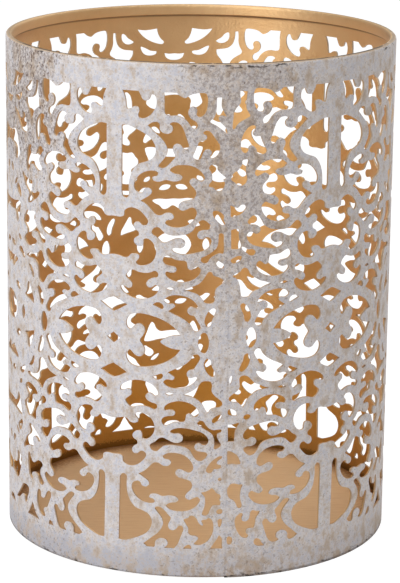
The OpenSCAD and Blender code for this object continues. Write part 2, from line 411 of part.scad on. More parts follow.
// How far point p lies from the line through a and b
function off_line(a, b, p) =
  norm(b - a) == 0 ? norm(p - a) : abs(cross(b - a, p - a)) / norm(b - a);

// An outline without the points that lie within slack of a straight side between the others
function simplified(p, slack, i = 1, last = 0, kept = [0]) =
  i == len(p) ? [for (k = kept) p[k]] :
  max([for (k = [last + 1 : i]) off_line(p[last], p[(i + 1) % len(p)], p[k])]) > slack
    ? simplified(p, slack, i + 1, i, concat(kept, [i]))
    : simplified(p, slack, i + 1, last, kept);

// Cutter for one hole, square to the sheet at the hole's middle. Its points are given by their arc from
// the seam to the right and by their height.
module cutter(outline) {
  points = simplified(outline, min(outline_slack, corner_share * sqrt(area(outline))));
  low = min([for (p = points) p.y]);
  arc = (min([for (p = points) p.x]) + max([for (p = points) p.x])) / 2;
  flat = [for (p = points) [sleeve_r * sin(arc_angle(p.x - arc)), p.y]];
  rotate([0, 0, seam_angle - 90 + arc_angle(arc)])
    translate([sleeve_r - 2 * sheet_t - overrun, 0, 0])
      rotate([90, 0, 90])
        linear_extrude(2 * sheet_t + 2 * overrun)
          if (low > foot_band) polygon(flat);
          else intersection() {
            polygon(flat);
            translate([-motif_w, foot_band]) square([2 * motif_w, sleeve_h]);
          }
}

// A hole of the motif. Motifs count from the seam to the right. Side and half are 1 or -1, and mirror
// the drawn outline to the motif's left and below.
module hole(drawn, motif, side, half) {
  points = [for (p = drawn) on_motif(p, motif, side, half)];
  nearest = min([for (p = points) min(p.x, girth - p.x)]);
  high = max([for (p = points) p.y]);
  if (nearest > seam_zone && high > foot_band + least_rest) cutter(points);
}

// Cutters for the holes of one motif, and of the line where the next one to its right joins it
module motif_holes(motif) {
  for (half = [1, -1]) {
    for (side = [1, -1], drawn = side_shares) hole(drawn, motif, side, half);
    for (drawn = axis_shares) hole(left_and_right(drawn, 0), motif, 1, half);
    if (motif < joints)
      for (drawn = joint_shares) hole(left_and_right(drawn, quarter_shares.x), motif, 1, half);
  }
  for (side = [1, -1], drawn = middle_shares) hole(up_and_down(drawn), motif, side, 1);
  hole(left_and_right(up_and_down(stud_shares), 0), motif, 1, 1);
  if (motif < joints)
    hole(left_and_right(up_and_down(slot_shares), quarter_shares.x), motif, 1, 1);
}

// Cutters for the holes along both sides of the seam
module seam_holes() {
  for (drawn = right_of_seam_shares) cutter([for (p = drawn) beside_seam(p, 0)]);
  for (drawn = left_of_seam_shares) cutter([for (p = drawn) beside_seam(p, girth)]);
}

// Section of a bend in the sheet: the part of a ring of outer radius r that is above its centre
// and to the right of x
module bend_section(r, x) {
  intersection() {
    difference() {
      circle(r, $fn = smooth);
      circle(r - sheet_t, $fn = smooth);
    }
    translate([x, 0]) square([r - x, r]);
  }
}

// Section of the round band at the mouth, with the hem; the wall's flats run up into it
module mouth_section() {
  translate([inner_r, flats_h - hem_h / 2]) square([sleeve_r - inner_r, hem_h * 3 / 2 - fold_r]);
  translate([sleeve_r - fold_r, sleeve_h - fold_r]) bend_section(fold_r, -fold_r);
  translate([sleeve_r - 2 * fold_r, sleeve_h - hem_h]) square([sheet_t, hem_h - fold_r]);
}

// Plan of the wall's flats, whose corners lie at radius r
module flats_plan(r) {
  polygon([for (i = [0 : flats - 1]) r * [cos(i * 360 / flats), sin(i * 360 / flats)]]);
}

// The wall of flats, before it is pierced
module flat_wall() {
  corner_r = sleeve_r - flat_depth / 2;
  linear_extrude(flats_h)
    difference() {
      flats_plan(corner_r);
      flats_plan(corner_r - sheet_t / cos(180 / flats));
    }
}

// The side wall: a pierced sheet rolled up, joined edge to edge at a seam and hemmed inwards at the mouth
module sleeve() color("#cdc8c6") {
  rotate_extrude($fn = smooth) mouth_section();
  difference() {
    flat_wall();
    for (motif = [0 : joints]) motif_holes(motif);
    seam_holes();
  }
}

// The floor: a round sheet whose rim is bent down into a flange that stands on the table
module base_pan() color("#b08542") {
  rim_r = inner_r - pan_clearance;
  rotate_extrude($fn = smooth) {
    translate([0, floor_h - sheet_t]) square([rim_r - pan_bend, sheet_t]);
    translate([rim_r - pan_bend, floor_h - pan_bend]) bend_section(pan_bend, 0);
    translate([rim_r - sheet_t, 0]) square([sheet_t, floor_h - pan_bend]);
  }
}

sleeve();
base_pan();
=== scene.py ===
import math

import bpy
import numpy as np
from mathutils import Matrix, Vector
from mathutils.geometry import delaunay_2d_cdt


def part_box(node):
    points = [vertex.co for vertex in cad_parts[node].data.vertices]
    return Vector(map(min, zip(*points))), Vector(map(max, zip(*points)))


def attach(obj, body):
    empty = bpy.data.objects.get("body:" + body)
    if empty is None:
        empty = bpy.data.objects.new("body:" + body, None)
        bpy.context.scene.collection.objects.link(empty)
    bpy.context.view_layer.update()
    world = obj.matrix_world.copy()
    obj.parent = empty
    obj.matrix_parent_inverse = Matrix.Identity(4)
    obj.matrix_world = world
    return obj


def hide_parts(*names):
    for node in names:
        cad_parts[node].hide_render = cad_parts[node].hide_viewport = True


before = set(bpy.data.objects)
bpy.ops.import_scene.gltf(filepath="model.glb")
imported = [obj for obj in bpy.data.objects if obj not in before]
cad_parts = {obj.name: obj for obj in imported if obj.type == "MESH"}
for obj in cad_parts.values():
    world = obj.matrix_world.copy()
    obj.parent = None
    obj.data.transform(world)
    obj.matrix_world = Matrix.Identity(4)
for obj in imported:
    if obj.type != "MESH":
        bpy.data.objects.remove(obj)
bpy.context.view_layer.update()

# Camera
# The photograph is taken from the front with a long lens, a little above the mouth, so that the
# gold inside shows over the front of the rim. The camera is rolled by well under a degree.
low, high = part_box("sleeve")
RADIUS = (high.x - low.x) / 2
HEIGHT = high.z

# The lens, the roll and the aim, fitted to the outline of the mouth, the foot and the sides
PHOTO_LONG_SIDE_PX = 583
LENS_PX = 2487
SENSOR = 36
CAMERA_TILT = math.radians(14.74)
CAMERA_ROLL = math.radians(0.65)
CAMERA_DISTANCE = 13.1 * RADIUS
AIM_HEIGHT = 1.221 * RADIUS
AIM_LEFT_PX = 1.95
NEAREST = RADIUS / 10
FARTHEST = RADIUS * 1000

camera_data = bpy.data.cameras.new("camera")
camera_data.sensor_fit = "VERTICAL"
camera_data.sensor_height = SENSOR
camera_data.lens = LENS_PX * SENSOR / PHOTO_LONG_SIDE_PX
camera_data.shift_x = AIM_LEFT_PX / PHOTO_LONG_SIDE_PX
camera_data.clip_start = NEAREST
camera_data.clip_end = FARTHEST
camera = bpy.data.objects.new("camera", camera_data)
bpy.context.collection.objects.link(camera)
bpy.context.scene.camera = camera

back = Vector((0, -math.cos(CAMERA_TILT), math.sin(CAMERA_TILT)))
right = Vector((1, 0, 0))
up = Vector((0, math.sin(CAMERA_TILT), math.cos(CAMERA_TILT)))
roll = Matrix.Rotation(CAMERA_ROLL, 3, back)
facing = Matrix((roll @ right, roll @ up, back)).transposed()
stand = Vector((0, 0, AIM_HEIGHT)) + back * CAMERA_DISTANCE
camera.matrix_world = Matrix.LocRotScale(stand, facing, None)


# Floor and light
# A pale floor that runs on behind the object as its background, as in a product photograph on
# white. A soft lamp at the front left does most of the lighting, with weaker ones overhead and
# behind at the right, and an even white world opens the shadows.
class Value:
    """A number in a node tree, so that sums and products of masks read as plain maths."""

    def __init__(self, finish, socket):
        self.finish = finish
        self.socket = socket

    def maths(self, operation, *others, clamp=False):
        settings = {"operation": operation, "use_clamp": clamp}
        return self.finish.node("Math", settings, dict(enumerate((self,) + others)))

    def __add__(self, other):
        return self.maths("ADD", other)

    __radd__ = __add__

    def __mul__(self, other):
        return self.maths("MULTIPLY", other)

    __rmul__ = __mul__

    def __sub__(self, other):
        return self.maths("SUBTRACT", other)

    def __rsub__(self, other):
        return (self * -1).maths("ADD", other)

    def clamped(self):
        """The same number, kept from 0 to 1."""
        return self.maths("ADD", 0, clamp=True)

    def between(self, low, high):
        """0 below low and 1 above high, with a smooth step; the other way round if low is above."""
        ends = (low, high, 0, 1) if low < high else (high, low, 1, 0)
        settings = {"interpolation_type": "SMOOTHSTEP"}
        return self.finish.node("MapRange", settings, dict(enumerate((self,) + ends)))

    def within(self, rise, fall):
        """1 inside a band, between a smooth rise at one end of it and a smooth fall at the other."""
        return self.between(*rise) * self.between(*fall)


class Finish:
    """A node tree under the name of what it finishes, with one way to add a node."""

    def __init__(self, owner):
        owner.use_nodes = True
        self.owner = owner
        self.tree = owner.node_tree
        self.tree.nodes.clear()

    def node(self, kind, settings=None, sockets=None, output=0):
        """Adds a node, sets its settings, then fills its sockets with values or joins them."""
        made = self.tree.nodes.new("ShaderNode" + kind)
        for name, value in (settings or {}).items():
            setattr(made, name, value)
        for key, value in (sockets or {}).items():
            if isinstance(value, Value):
                self.tree.links.new(value.socket, made.inputs[key])
            else:
                made.inputs[key].default_value = value
        return Value(self, made.outputs[output]) if made.outputs else made

    def mix(self, first, second, factor):
        """Colour that goes from the first to the second as the factor goes from 0 to 1."""
        settings = {"data_type": "RGBA", "clamp_factor": True}
        return self.node("Mix", settings, {0: factor, 6: first, 7: second}, output=2)

    def stretched(self, place, amounts):
        """The place with each of its three numbers times its own amount."""
        return self.node("VectorMath", {"operation": "MULTIPLY"}, {0: place, 1: amounts})

    def noise(self, place, scale, detail, roughness):
        """Soft random spots, more of them to the millimetre as the scale goes up."""
        sockets = {"Vector": place, "Scale": scale, "Detail": detail, "Roughness": roughness}
        return self.node("TexNoise", None, sockets)

    def surface(self, **values):
        """The Principled shader, its socket names written with _ for a space."""
        sockets = {name.replace("_", " "): value for name, value in values.items()}
        return self.node("BsdfPrincipled", None, sockets)

    def output(self, shader, kind="OutputMaterial"):
        self.node(kind, None, {"Surface": shader})


def new_object(name, vertices, faces):
    """A mesh object of these vertices and faces, put in the scene."""
    mesh = bpy.data.meshes.new(name)
    mesh.from_pydata(vertices, [], faces)
    mesh.validate()
    made = bpy.data.objects.new(name, mesh)
    bpy.context.collection.objects.link(made)
    return made


FLOOR_REACH = RADIUS * 120
FLOOR_WHITE = (0.92, 0.92, 0.92, 1)
WHITE = (1, 1, 1, 1)

# To the camera, and in gloss and glass, this part of the floor's look is a glow, and the rest is
# the lit paper, so that it comes out white with a faint shadow
GLOW_PART = 0.75
GLOW = 1.2

floor = new_object(
    "floor",
    [(x * FLOOR_REACH, y * FLOOR_REACH, 0) for x, y in ((-1, -1), (1, -1), (1, 1), (-1, 1))],
    [(0, 1, 2, 3)],
)
floor_finish = Finish(bpy.data.materials.new("floor_paper"))
seen_direct = floor_finish.node("LightPath", output="Is Camera Ray")
seen_in_gloss = floor_finish.node("LightPath", output="Is Glossy Ray")
seen_in_glass = floor_finish.node("LightPath", output="Is Transmission Ray")
seen = (seen_direct + seen_in_gloss + seen_in_glass).clamped()
paper = floor_finish.surface(Base_Color=FLOOR_WHITE, Roughness=0.9)
glow = floor_finish.node("Emission", None, {"Color": WHITE, "Strength": GLOW})
floor_finish.output(floor_finish.node("MixShader", None, {0: seen * GLOW_PART, 1: paper, 2: glow}))
floor.data.materials.append(floor_finish.owner)

# The world is white to the camera, and lights the object by less
WORLD_LIGHT = 0.41
world = bpy.data.worlds.new("studio")
bpy.context.scene.world = world
air = Finish(world)
seen = air.node("LightPath", output="Is Camera Ray")
strength = seen * (1 - WORLD_LIGHT) + WORLD_LIGHT
air.output(air.node("Background", None, {"Color": WHITE, "Strength": strength}), "OutputWorld")

LAMP_DISTANCE = RADIUS * 16


def lamp(name, azimuth, elevation, size, watts):
    """A square soft lamp that faces the middle of the object, from degrees round and above it."""
    data = bpy.data.lights.new(name, "AREA")
    data.size = size
    data.energy = watts
    made = bpy.data.objects.new(name, data)
    aside, above = math.radians(azimuth), math.radians(elevation)
    level = math.cos(above)
    way = Vector((math.sin(aside) * level, -math.cos(aside) * level, math.sin(above)))
    made.location = Vector((0, 0, HEIGHT / 2)) + way * LAMP_DISTANCE
    made.rotation_euler = way.to_track_quat("Z", "Y").to_euler()
    bpy.context.collection.objects.link(made)


lamp("key", -46, 42, RADIUS * 7, 2.5)
lamp("top", 0, 88, RADIUS * 8, 1.6)
lamp("back", 150, 40, RADIUS * 8, 0.9)

bpy.context.scene.view_settings.view_transform = "Standard"


# Sleeve
# A strip of 0.6 mm sheet steel, punched through with scrolls, rolled up so that its ends meet at one
# seam right of the front, and hemmed inwards at the mouth. It is gold all over and whitewashed
# outside, and the wash is worn and specked.
MM = 0.001

# The sheet, the hem that is folded in over its last run, and the plain bands at head and foot
SHEET = 0.6 * MM
HEM_HEIGHT = 2.8 * MM
HEM_GAP = 0.5 * MM
HEM_RUN = 4 * MM
HEM_BEVEL = SHEET / 4
HEAD_BAND = 6.6 * MM
FOOT_BAND = 7.8 * MM

# The seam: its place, the step between its edges with the arc and the heights over which that
# fades out, the metal kept on either side, and how near the motif's own holes may come
SEAM_ANGLE = math.radians(8.5)
SEAM_STEP = 0.15 * MM
SEAM_BLEND = 5 * MM
SEAM_FADE = (25 * MM, 85 * MM)
LEFT_MARGIN = 0.5 * MM
RIGHT_MARGIN = LEFT_MARGIN / 4
SEAM_ZONE = 2.6 * MM

# The pattern: how often it repeats, its run downhill, how its lower half is flatter and leans, the
# least that a hole stands above the foot band, and the lift of the lower edge left of the seam
REPEATS = 3.67
PATTERN_DROP = 1.1 * MM
LOWER_SQUEEZE = 0.985
FOOT_LEAN = 0.65 * MM
LEAST_REST = 0.6 * MM
FOOT_LIFT = 0.5 * MM

GIRTH = 2 * math.pi * RADIUS
MOTIF = GIRTH / REPEATS
JOINTS = int(REPEATS)
END_RUN = (GIRTH - JOINTS * MOTIF) / 2
HALF_HEIGHT = (HEIGHT - HEAD_BAND) / 2
FOLD = SHEET + HEM_GAP / 2
WALL_TOP = HEIGHT - HEM_RUN

# A quarter of the motif as drawn, and the outlines of its holes in the same units, so that they are
# shares of a motif's half width and of the pattern's half height. A third value marks a sharp corner.
QUARTER_SHARES = (42.8, 61.5)
# Holes that lie whole in the quarter
SIDE_SHARES = {
    "tall": [(2, 53, 1), (3.6, 53.1), (5.6, 52.4), (7.6, 51.5), (9.3, 50.4), (10.3, 49), (10.7, 47.4),
        (10.4, 46.2), (9.5, 45.1), (8, 44.4), (6.4, 43.8), (5.2, 42.6), (4.4, 41), (4, 39.2),
        (3.9, 37.2), (4, 36.1), (3.5, 35.3), (2.7, 35.3), (2.1, 36.1), (2, 37.5, 1)],
    "t1": [(2.1, 61.5, 1), (6.4, 61.5, 1), (7, 60.2), (7.6, 59.4), (8.7, 59.4), (9.2, 60.1),
        (9.5, 60.8), (10.3, 60.7), (10.8, 59.6), (10.7, 58.1), (10, 56.7), (8.8, 55.5), (7.4, 54.9),
        (6.4, 55.1), (6.2, 55.9), (6.5, 56.8), (6.2, 57.6), (5.2, 57.7), (4.3, 57.2), (3.4, 57),
        (3.1, 57.8), (3, 59), (2.7, 60.2)],
    "t2": [(12.5, 61.5, 1), (15.6, 61.5, 1), (16.6, 60.7), (17.7, 60.3), (18.7, 60.9), (19.3, 61.2),
        (20.6, 61.5), (22.6, 61.5), (23.1, 60.4), (23.1, 58.6), (22.7, 57), (21.9, 56), (20.9, 55.8),
        (20.4, 56.4), (20.6, 57.4), (20.2, 58.1), (19.3, 58.2), (18.6, 57.5), (18.5, 56.4),
        (19.2, 55.3), (20.4, 54.6), (20.8, 53.7), (20.3, 52.9), (19.3, 53.2), (18.4, 54.5),
        (17.2, 55.5), (15.6, 56), (14.2, 55.9), (12.9, 56.3), (12.7, 58), (12.7, 60)],
    "t3": [(24.9, 60.7, 1), (25.8, 60.6, 1), (25.9, 58.9), (26.6, 57), (28, 56), (29.8, 55.7),
        (31, 55.5, 1), (30.9, 54.2), (29.8, 52.7), (29, 51.3), (28.3, 50.3), (27.5, 51.3), (26.7, 52.7),
        (25.4, 53.7), (24, 54.6), (23.8, 55.3), (24.4, 56.4), (24.8, 57.8), (24.8, 59.4)],
    "t4": [(27.6, 60.3), (28.6, 60), (29.5, 59), (30.6, 58.3), (31.2, 57.8), (30.2, 57.3), (28.9, 57.4),
        (27.8, 58.2), (27.4, 59.3)],
    "t5": [(32.2, 61.3, 1), (34.6, 61), (37.9, 61.4, 1), (38.2, 60), (38.9, 58.6), (39.9, 57.6),
        (39.5, 57), (38, 57.2), (36.1, 57.9), (34.4, 58.9), (33, 60.2)],
    "t6": [(33.1, 56.5), (34.4, 56.1), (36, 55.3), (37.8, 55), (37.6, 54.3), (36.3, 53.9), (34.8, 54.1),
        (33.7, 54.9)],
    "fork": [(8.6, 53.3, 1), (9.7, 54.1), (11, 54.3), (11.6, 53.7), (11.6, 52.7), (12.1, 51.9),
        (13.2, 51.5), (14.3, 51.8), (14.8, 52.6), (14.6, 53.4), (14, 53.9), (14.8, 54.4), (16.2, 54.2),
        (17.2, 53.1), (17.8, 51.6), (18.3, 50.1), (18.7, 48.8), (18.2, 47.9), (17.4, 48), (16.8, 48.8),
        (15.9, 49.2), (15.1, 48.8), (14.8, 47.8), (15.3, 46.6), (15.4, 45.8), (14.7, 45), (13.9, 44.1),
        (13, 43.3), (12, 43.1), (11.3, 43.6), (12.2, 44.8), (13.2, 46.2), (13.5, 47.6), (13, 49),
        (12, 50.3), (10.6, 51.5)],
    "big": [(14.1, 42.7), (15.2, 43.7), (17, 44.1), (19, 44), (20.8, 43.3), (22.1, 42.1), (22.6, 40.9),
        (21.9, 40.1), (20.9, 40.5), (19.8, 40.9), (18.9, 40.2), (19.3, 39.2), (20.2, 38.3),
        (20.6, 37.2), (20.1, 36), (18.8, 35.5), (17.3, 35.1), (16.4, 34.3), (16.5, 33.3), (17.4, 32.9),
        (18.6, 33.4), (19.7, 33.8), (20.6, 33.1), (20.7, 32), (20, 30.6), (18.5, 29.3), (16.5, 28.7),
        (14.5, 28.8), (13.1, 29.6), (13.5, 30.4), (14.7, 30.6), (15.2, 31.3), (14.6, 32.1),
        (13.3, 32.2), (12, 31.5), (10.8, 31.6), (9.8, 32.6), (8.5, 33.9), (6.9, 34.8, 1), (8.3, 35.7),
        (9.5, 36.6), (9.7, 37.5), (8.9, 38.1), (7.9, 37.8), (7.4, 36.9), (6.5, 36.8), (5.5, 37.4),
        (5.2, 38.6), (5.7, 40), (6.8, 41.3), (8.5, 42.2), (10.3, 42.4), (11.3, 42), (11, 41.2),
        (9.9, 40.8), (10.2, 40), (11.6, 39.8), (13.2, 40.3), (15, 40), (16.6, 40.3), (17.2, 41.1),
        (16.5, 41.7), (15.2, 41.9)],
    "horn": [(19.8, 46.3), (20, 45.3), (20.9, 45.1), (21.8, 45.8), (22.4, 47), (23.2, 47.7),
        (24.1, 47.4), (24.1, 46.4), (24.8, 45.7), (25.7, 46.2), (26.1, 47.6), (26.1, 49.2),
        (25.6, 50.7), (24.7, 52), (23.4, 52.7), (22.2, 52.4), (22.4, 51.6), (22.9, 50.7), (22.3, 50),
        (21.4, 49.7), (20.9, 48.8), (20.4, 47.6)],
    "yoke": [(22.8, 43.4), (23.5, 44.3), (24.7, 44.2), (25.4, 43.3), (26, 42.2), (27.1, 41.8),
        (28.2, 42.1), (28.6, 42.9), (28.1, 43.7), (28.9, 44.1), (30, 43.4), (30.6, 42), (30.8, 40.3),
        (30.9, 38.7), (30.6, 37.3), (29.8, 37.1), (29.2, 38), (28.5, 39), (27.5, 39.2), (26.5, 38.5),
        (25.3, 38), (23.9, 38.2), (23.4, 38.9), (24.2, 39.9), (24.5, 41.2), (23.9, 42.2)],
    "claw": [(24.5, 32.6), (25.4, 32.9), (26.3, 32.2), (27.5, 32), (28.2, 32.8), (27.9, 33.9),
        (27.8, 34.8), (29, 35.1), (30.5, 35.3), (31.8, 35.9), (33, 36.6), (33.4, 35.7), (32.6, 34.6),
        (31.9, 33.4), (30.9, 32.6), (29.9, 31.9), (29.5, 31), (30.2, 30), (30, 29.1), (28.8, 29.2),
        (27.2, 30.1), (25.7, 31), (24.7, 31.9)],
    "twin": [(9.7, 27.3), (10.3, 28.3), (11.4, 28.6), (12.3, 27.9), (13.2, 27.1), (14.8, 26.7),
        (16.8, 26.8), (18.6, 27.2), (19.8, 28), (20.5, 29.2), (21.4, 30.4), (22.5, 30.7), (23.6, 30),
        (24.2, 29), (23.6, 28.3), (22.3, 28.2), (21.3, 27.8), (20.9, 27), (21.3, 26.2), (22.2, 26),
        (23, 26.5), (23.9, 26.4), (24.4, 25.5), (23.9, 24.2), (22.7, 23.2), (20.9, 22.6), (19, 22.2),
        (17, 22.1), (15.3, 22.6), (14.8, 23.3), (15.7, 23.7), (17, 23.6), (17.9, 24.3), (17.9, 25.3),
        (16.9, 26), (15.5, 25.9), (14.2, 25.3), (13, 24.8), (12, 25.1), (11, 26.1), (10.1, 26.6)],
    "fish": [(12.6, 20.2), (12.8, 21.2), (13.6, 21.7), (14.6, 21.3), (15.8, 20.7), (17.2, 20.6),
        (18.3, 20.4), (18.6, 19.5), (18.8, 18.6), (19.6, 18.3), (20.3, 18.9), (21.1, 19.2),
        (21.8, 18.5), (21.6, 17.3), (20.6, 16.2), (19, 15.4), (17.1, 15.1), (15.3, 15.4), (13.9, 16.1),
        (13.2, 17), (13.5, 17.7), (14.5, 17.5), (15.5, 17.6), (16, 18.2), (15.6, 18.9), (14.5, 19.1),
        (13.3, 19.4)],
    "ring": [(22, 20.6), (23, 19.9), (24, 20.3), (24.7, 21.3), (25.6, 22.2), (26.9, 22.4), (28, 22),
        (28.3, 21.2), (27.6, 20.6), (26.4, 20.5), (25.8, 19.9), (26.8, 18.9), (28.5, 18.2),
        (30.4, 18.1), (31.9, 18.7), (32.4, 19.6), (31.7, 20.5), (30.8, 21.2), (30.7, 22.1),
        (31.6, 22.8), (32.6, 23.6), (32.6, 24.8), (31.8, 25.8), (31.3, 26.6), (30.6, 27.1), (29.2, 27),
        (27.7, 27.3), (26.5, 27.1), (26.5, 26), (26.5, 24.9), (25.9, 23.8), (24.8, 22.8), (23.4, 22.1),
        (22.3, 21.5)],
    "vase": [(3.2, 15.8), (3.9, 17), (5, 17.6), (6.4, 17.2), (8, 17), (9.4, 17.2), (10.7, 17.7),
        (11.5, 17.1), (11.3, 16.2), (10.2, 15.9), (9, 15.3), (8.5, 14.3), (9.1, 13.5), (10, 13.6),
        (10.9, 14.2), (11.7, 13.6), (11.4, 12.5), (10.3, 11.3), (8.7, 10.6), (7, 10.3), (5.2, 10.5),
        (3.4, 11.2), (2.1, 12.2), (1.8, 13.2), (2.7, 13.4), (3.8, 12.9), (4.7, 13.2), (4.8, 14.2),
        (4, 15)],
    "drop": [(10.1, 9.2, 1), (11.2, 9.9), (12.3, 9.7), (12.9, 8.8), (12.5, 8.2), (11.4, 8.6)],
    "seed": [(13.3, 13.4, 1), (14.4, 13.8), (15.6, 13.3, 1), (14.5, 13)],
    "hook": [(12.9, 10.3), (13.7, 11.3), (15.4, 11.9), (17.4, 11.8), (19.3, 11.2), (20.7, 10.1),
        (21.4, 8.8), (20.6, 8.8), (19.6, 9.1), (18.8, 8.5), (18.8, 7.6), (19.5, 7), (20.4, 6.8),
        (20.9, 6), (21.6, 4.9), (22, 3.8), (21.3, 2.9), (20.3, 3.1), (19.6, 4.3), (18.5, 5.4),
        (17, 6.3), (15.5, 7), (14, 7.8, 1), (15, 8.5), (15.7, 9.1), (15.2, 9.7), (13.9, 9.6)],
    "kite": [(17.8, 13.3, 1), (19.2, 14), (20.8, 14.7), (22.1, 15.6), (22.9, 16.7), (23.4, 17.8),
        (24.4, 18), (25.3, 17.2), (26.6, 16.7), (28.2, 16.4), (29.8, 16.2), (31, 15.4), (29.6, 15),
        (28.1, 15.2), (26.7, 14.8), (25.7, 13.8), (25.3, 12.3), (25.2, 10.8), (24.4, 9.9), (23.1, 9.9),
        (22.1, 10.9), (21.2, 12.1), (19.9, 12.8)],
    "leaf": [(22.9, 5.2), (23.2, 6.8), (24, 8.1), (25, 8.8), (25.7, 8.3), (25.4, 7.1), (24.8, 5.8),
        (24.5, 4.4), (23.6, 4)],
    "wing": [(27.3, 3.5, 1), (27.5, 5), (28.3, 6.3), (29.1, 7.6), (30, 8.8), (30.7, 8.2), (30.9, 6.8),
        (31.6, 5.7), (32.3, 5), (31.1, 4.5), (29.4, 4.1)],
    "nail": [(27.4, 10.2), (27.3, 11.3), (27.9, 12.5), (28.9, 13.3), (30, 13.3), (29.5, 12.5),
        (28.7, 11.6), (28.2, 10.6)],
    "rung": [(32, 14.5), (32.9, 15.8), (34.2, 16.8), (35.9, 16.4), (35.7, 15.5), (34.4, 15),
        (33.2, 14.2)],
    "pip": [(34.2, 18.6), (34.7, 19.6), (36, 19.9), (36.1, 19), (35.2, 18.4)],
    "lens": [(35, 5.5, 1), (35.8, 6.8), (37.1, 7.3), (38.5, 6.8), (37.8, 5.8), (36.4, 5.2)],
    "crab": [(30.2, 47.2), (30.4, 48.6), (31, 49.7), (31.3, 50.9), (32.2, 51.7), (33, 51.1),
        (33.1, 50.2), (34, 49.8), (35, 50.5), (36.2, 51.4), (37.6, 51.9), (38.6, 51.8), (37.6, 50.7),
        (36.2, 49.4), (34.9, 48), (33.8, 46.9), (32.5, 46.6), (31.1, 46.6)],
    "bean": [(34, 29.9), (34.4, 31.4), (35.3, 32.5), (36.6, 32.8), (37.4, 31.8), (36.8, 30.7),
        (35.7, 30), (34.8, 29.4)],
    "spur": [(36.4, 33.8), (37.4, 34), (38.6, 33), (38.9, 32), (37.8, 32.3), (36.9, 33)],
    "tear": [(39.6, 35.7), (40.3, 36.9), (41.4, 37.4), (42, 36.4), (41.4, 35.4), (40.4, 35.1)],
    "bud": [(38.7, 16.1), (39.5, 17.2), (41, 17.5), (42.1, 17.1), (41.6, 16.2), (40.2, 15.8)],
}
# Holes across the motif's own axis: the half of each from its top point to its bottom point
AXIS_SHARES = {
    "crown": [(0, 30.5), (1.6, 30.4), (2.6, 30.8), (2.8, 32.1), (4.4, 33), (6.4, 32.6), (8, 31.3),
        (8.9, 29.9), (8.4, 28.9), (7.4, 28.8), (6.6, 29.5), (5.7, 29.5), (5.2, 28.7), (5.6, 27.7),
        (6.5, 27.1), (6.5, 26.2), (5.5, 25.5), (5.3, 24.6), (6.1, 23.7), (7.3, 23.6), (7.7, 24.5),
        (7.8, 25.4), (8.8, 25.6), (10, 24.8), (10.8, 23.4), (10.9, 21.9), (10.3, 20.4), (9.2, 19.3),
        (7.8, 18.8), (6.4, 18.8), (5.8, 19.5), (6.5, 20.4), (6.6, 21.2), (5.7, 21.6), (4.5, 21.4),
        (3.9, 20.7), (2.8, 20.4), (1.6, 20.7), (0, 20.9)],
    "gem": [(0, 10.3, 1), (1.5, 9.8), (2.7, 9.1), (3.7, 8.7, 1), (2.7, 8.1), (1.4, 7.3), (0, 6.6, 1)],
}
# Holes across the line where two motifs meet, from top point to bottom point
JOINT_SHARES = {
    "t7": [(42.8, 54.4), (41.4, 54.3), (40, 54.5, 1), (40.4, 53.4), (41.4, 52.7), (42.8, 52.5)],
    "cup": [(42.8, 27.6), (40.6, 27.7), (38.5, 27.9), (36.4, 28.3), (34.6, 28.1), (34.7, 26.9),
        (35.4, 25.2), (36, 23.6), (36.8, 22.5), (37.6, 23.2), (38.2, 24.6), (39.4, 25.4), (41, 25.3),
        (42.8, 25.2)],
    "gate": [(42.8, 45.6), (41.2, 45.8), (39.8, 46.4), (38.2, 46.6), (36.9, 45.8), (36, 44.2),
        (35.3, 42.4), (34.8, 40.7), (35.6, 39.7), (36.9, 39), (38.1, 38.9), (38.2, 39.9), (38, 41.2),
        (38.9, 42.3), (40.6, 42.6), (42.8, 42.8)],
    "base": [(42.8, 13.4), (40.8, 13.3), (38.6, 13.5), (36.8, 13.1), (37.6, 12.2), (38.9, 11.5),
        (40, 10.4), (41.2, 10.5), (42.8, 11.4)],
}
# Holes across the middle line: the half of each above it
MIDDLE_SHARES = {
    "mid": [(6.9, 0), (7.6, 1.1), (8.2, 2.3), (8, 3.4), (7.1, 4.1), (6, 4), (5.1, 3.2), (4.4, 2.6),
        (3.6, 3), (3.3, 4.1), (3.7, 5.4), (4.8, 6.4), (7, 6.8), (9.5, 6.5), (12, 5.8), (14.2, 4.7),
        (16, 3.3), (17.1, 1.8, 1), (15.6, 1.7), (13.9, 1.2), (12.1, 0)],
    "oval": [(21.4, 0), (21.6, 1.3), (22.4, 2.5), (23.3, 2.5), (23.9, 1.3), (24.1, 0)],
    "slit": [(32.3, 0), (32.6, 1.2), (33.3, 1.9), (34, 1.2), (34.3, 0)],
}

# The diamond in the motif's middle and the slot between two motifs: a quarter of each
STUD_SHARES = [(0, 1.4, 1), (0.9, 0.7), (1.8, 0, 1)]
SLOT_SHARES = [(42.8, 3.7), (40.6, 3.5), (39.1, 2.8), (38, 1.5), (37.5, 0)]

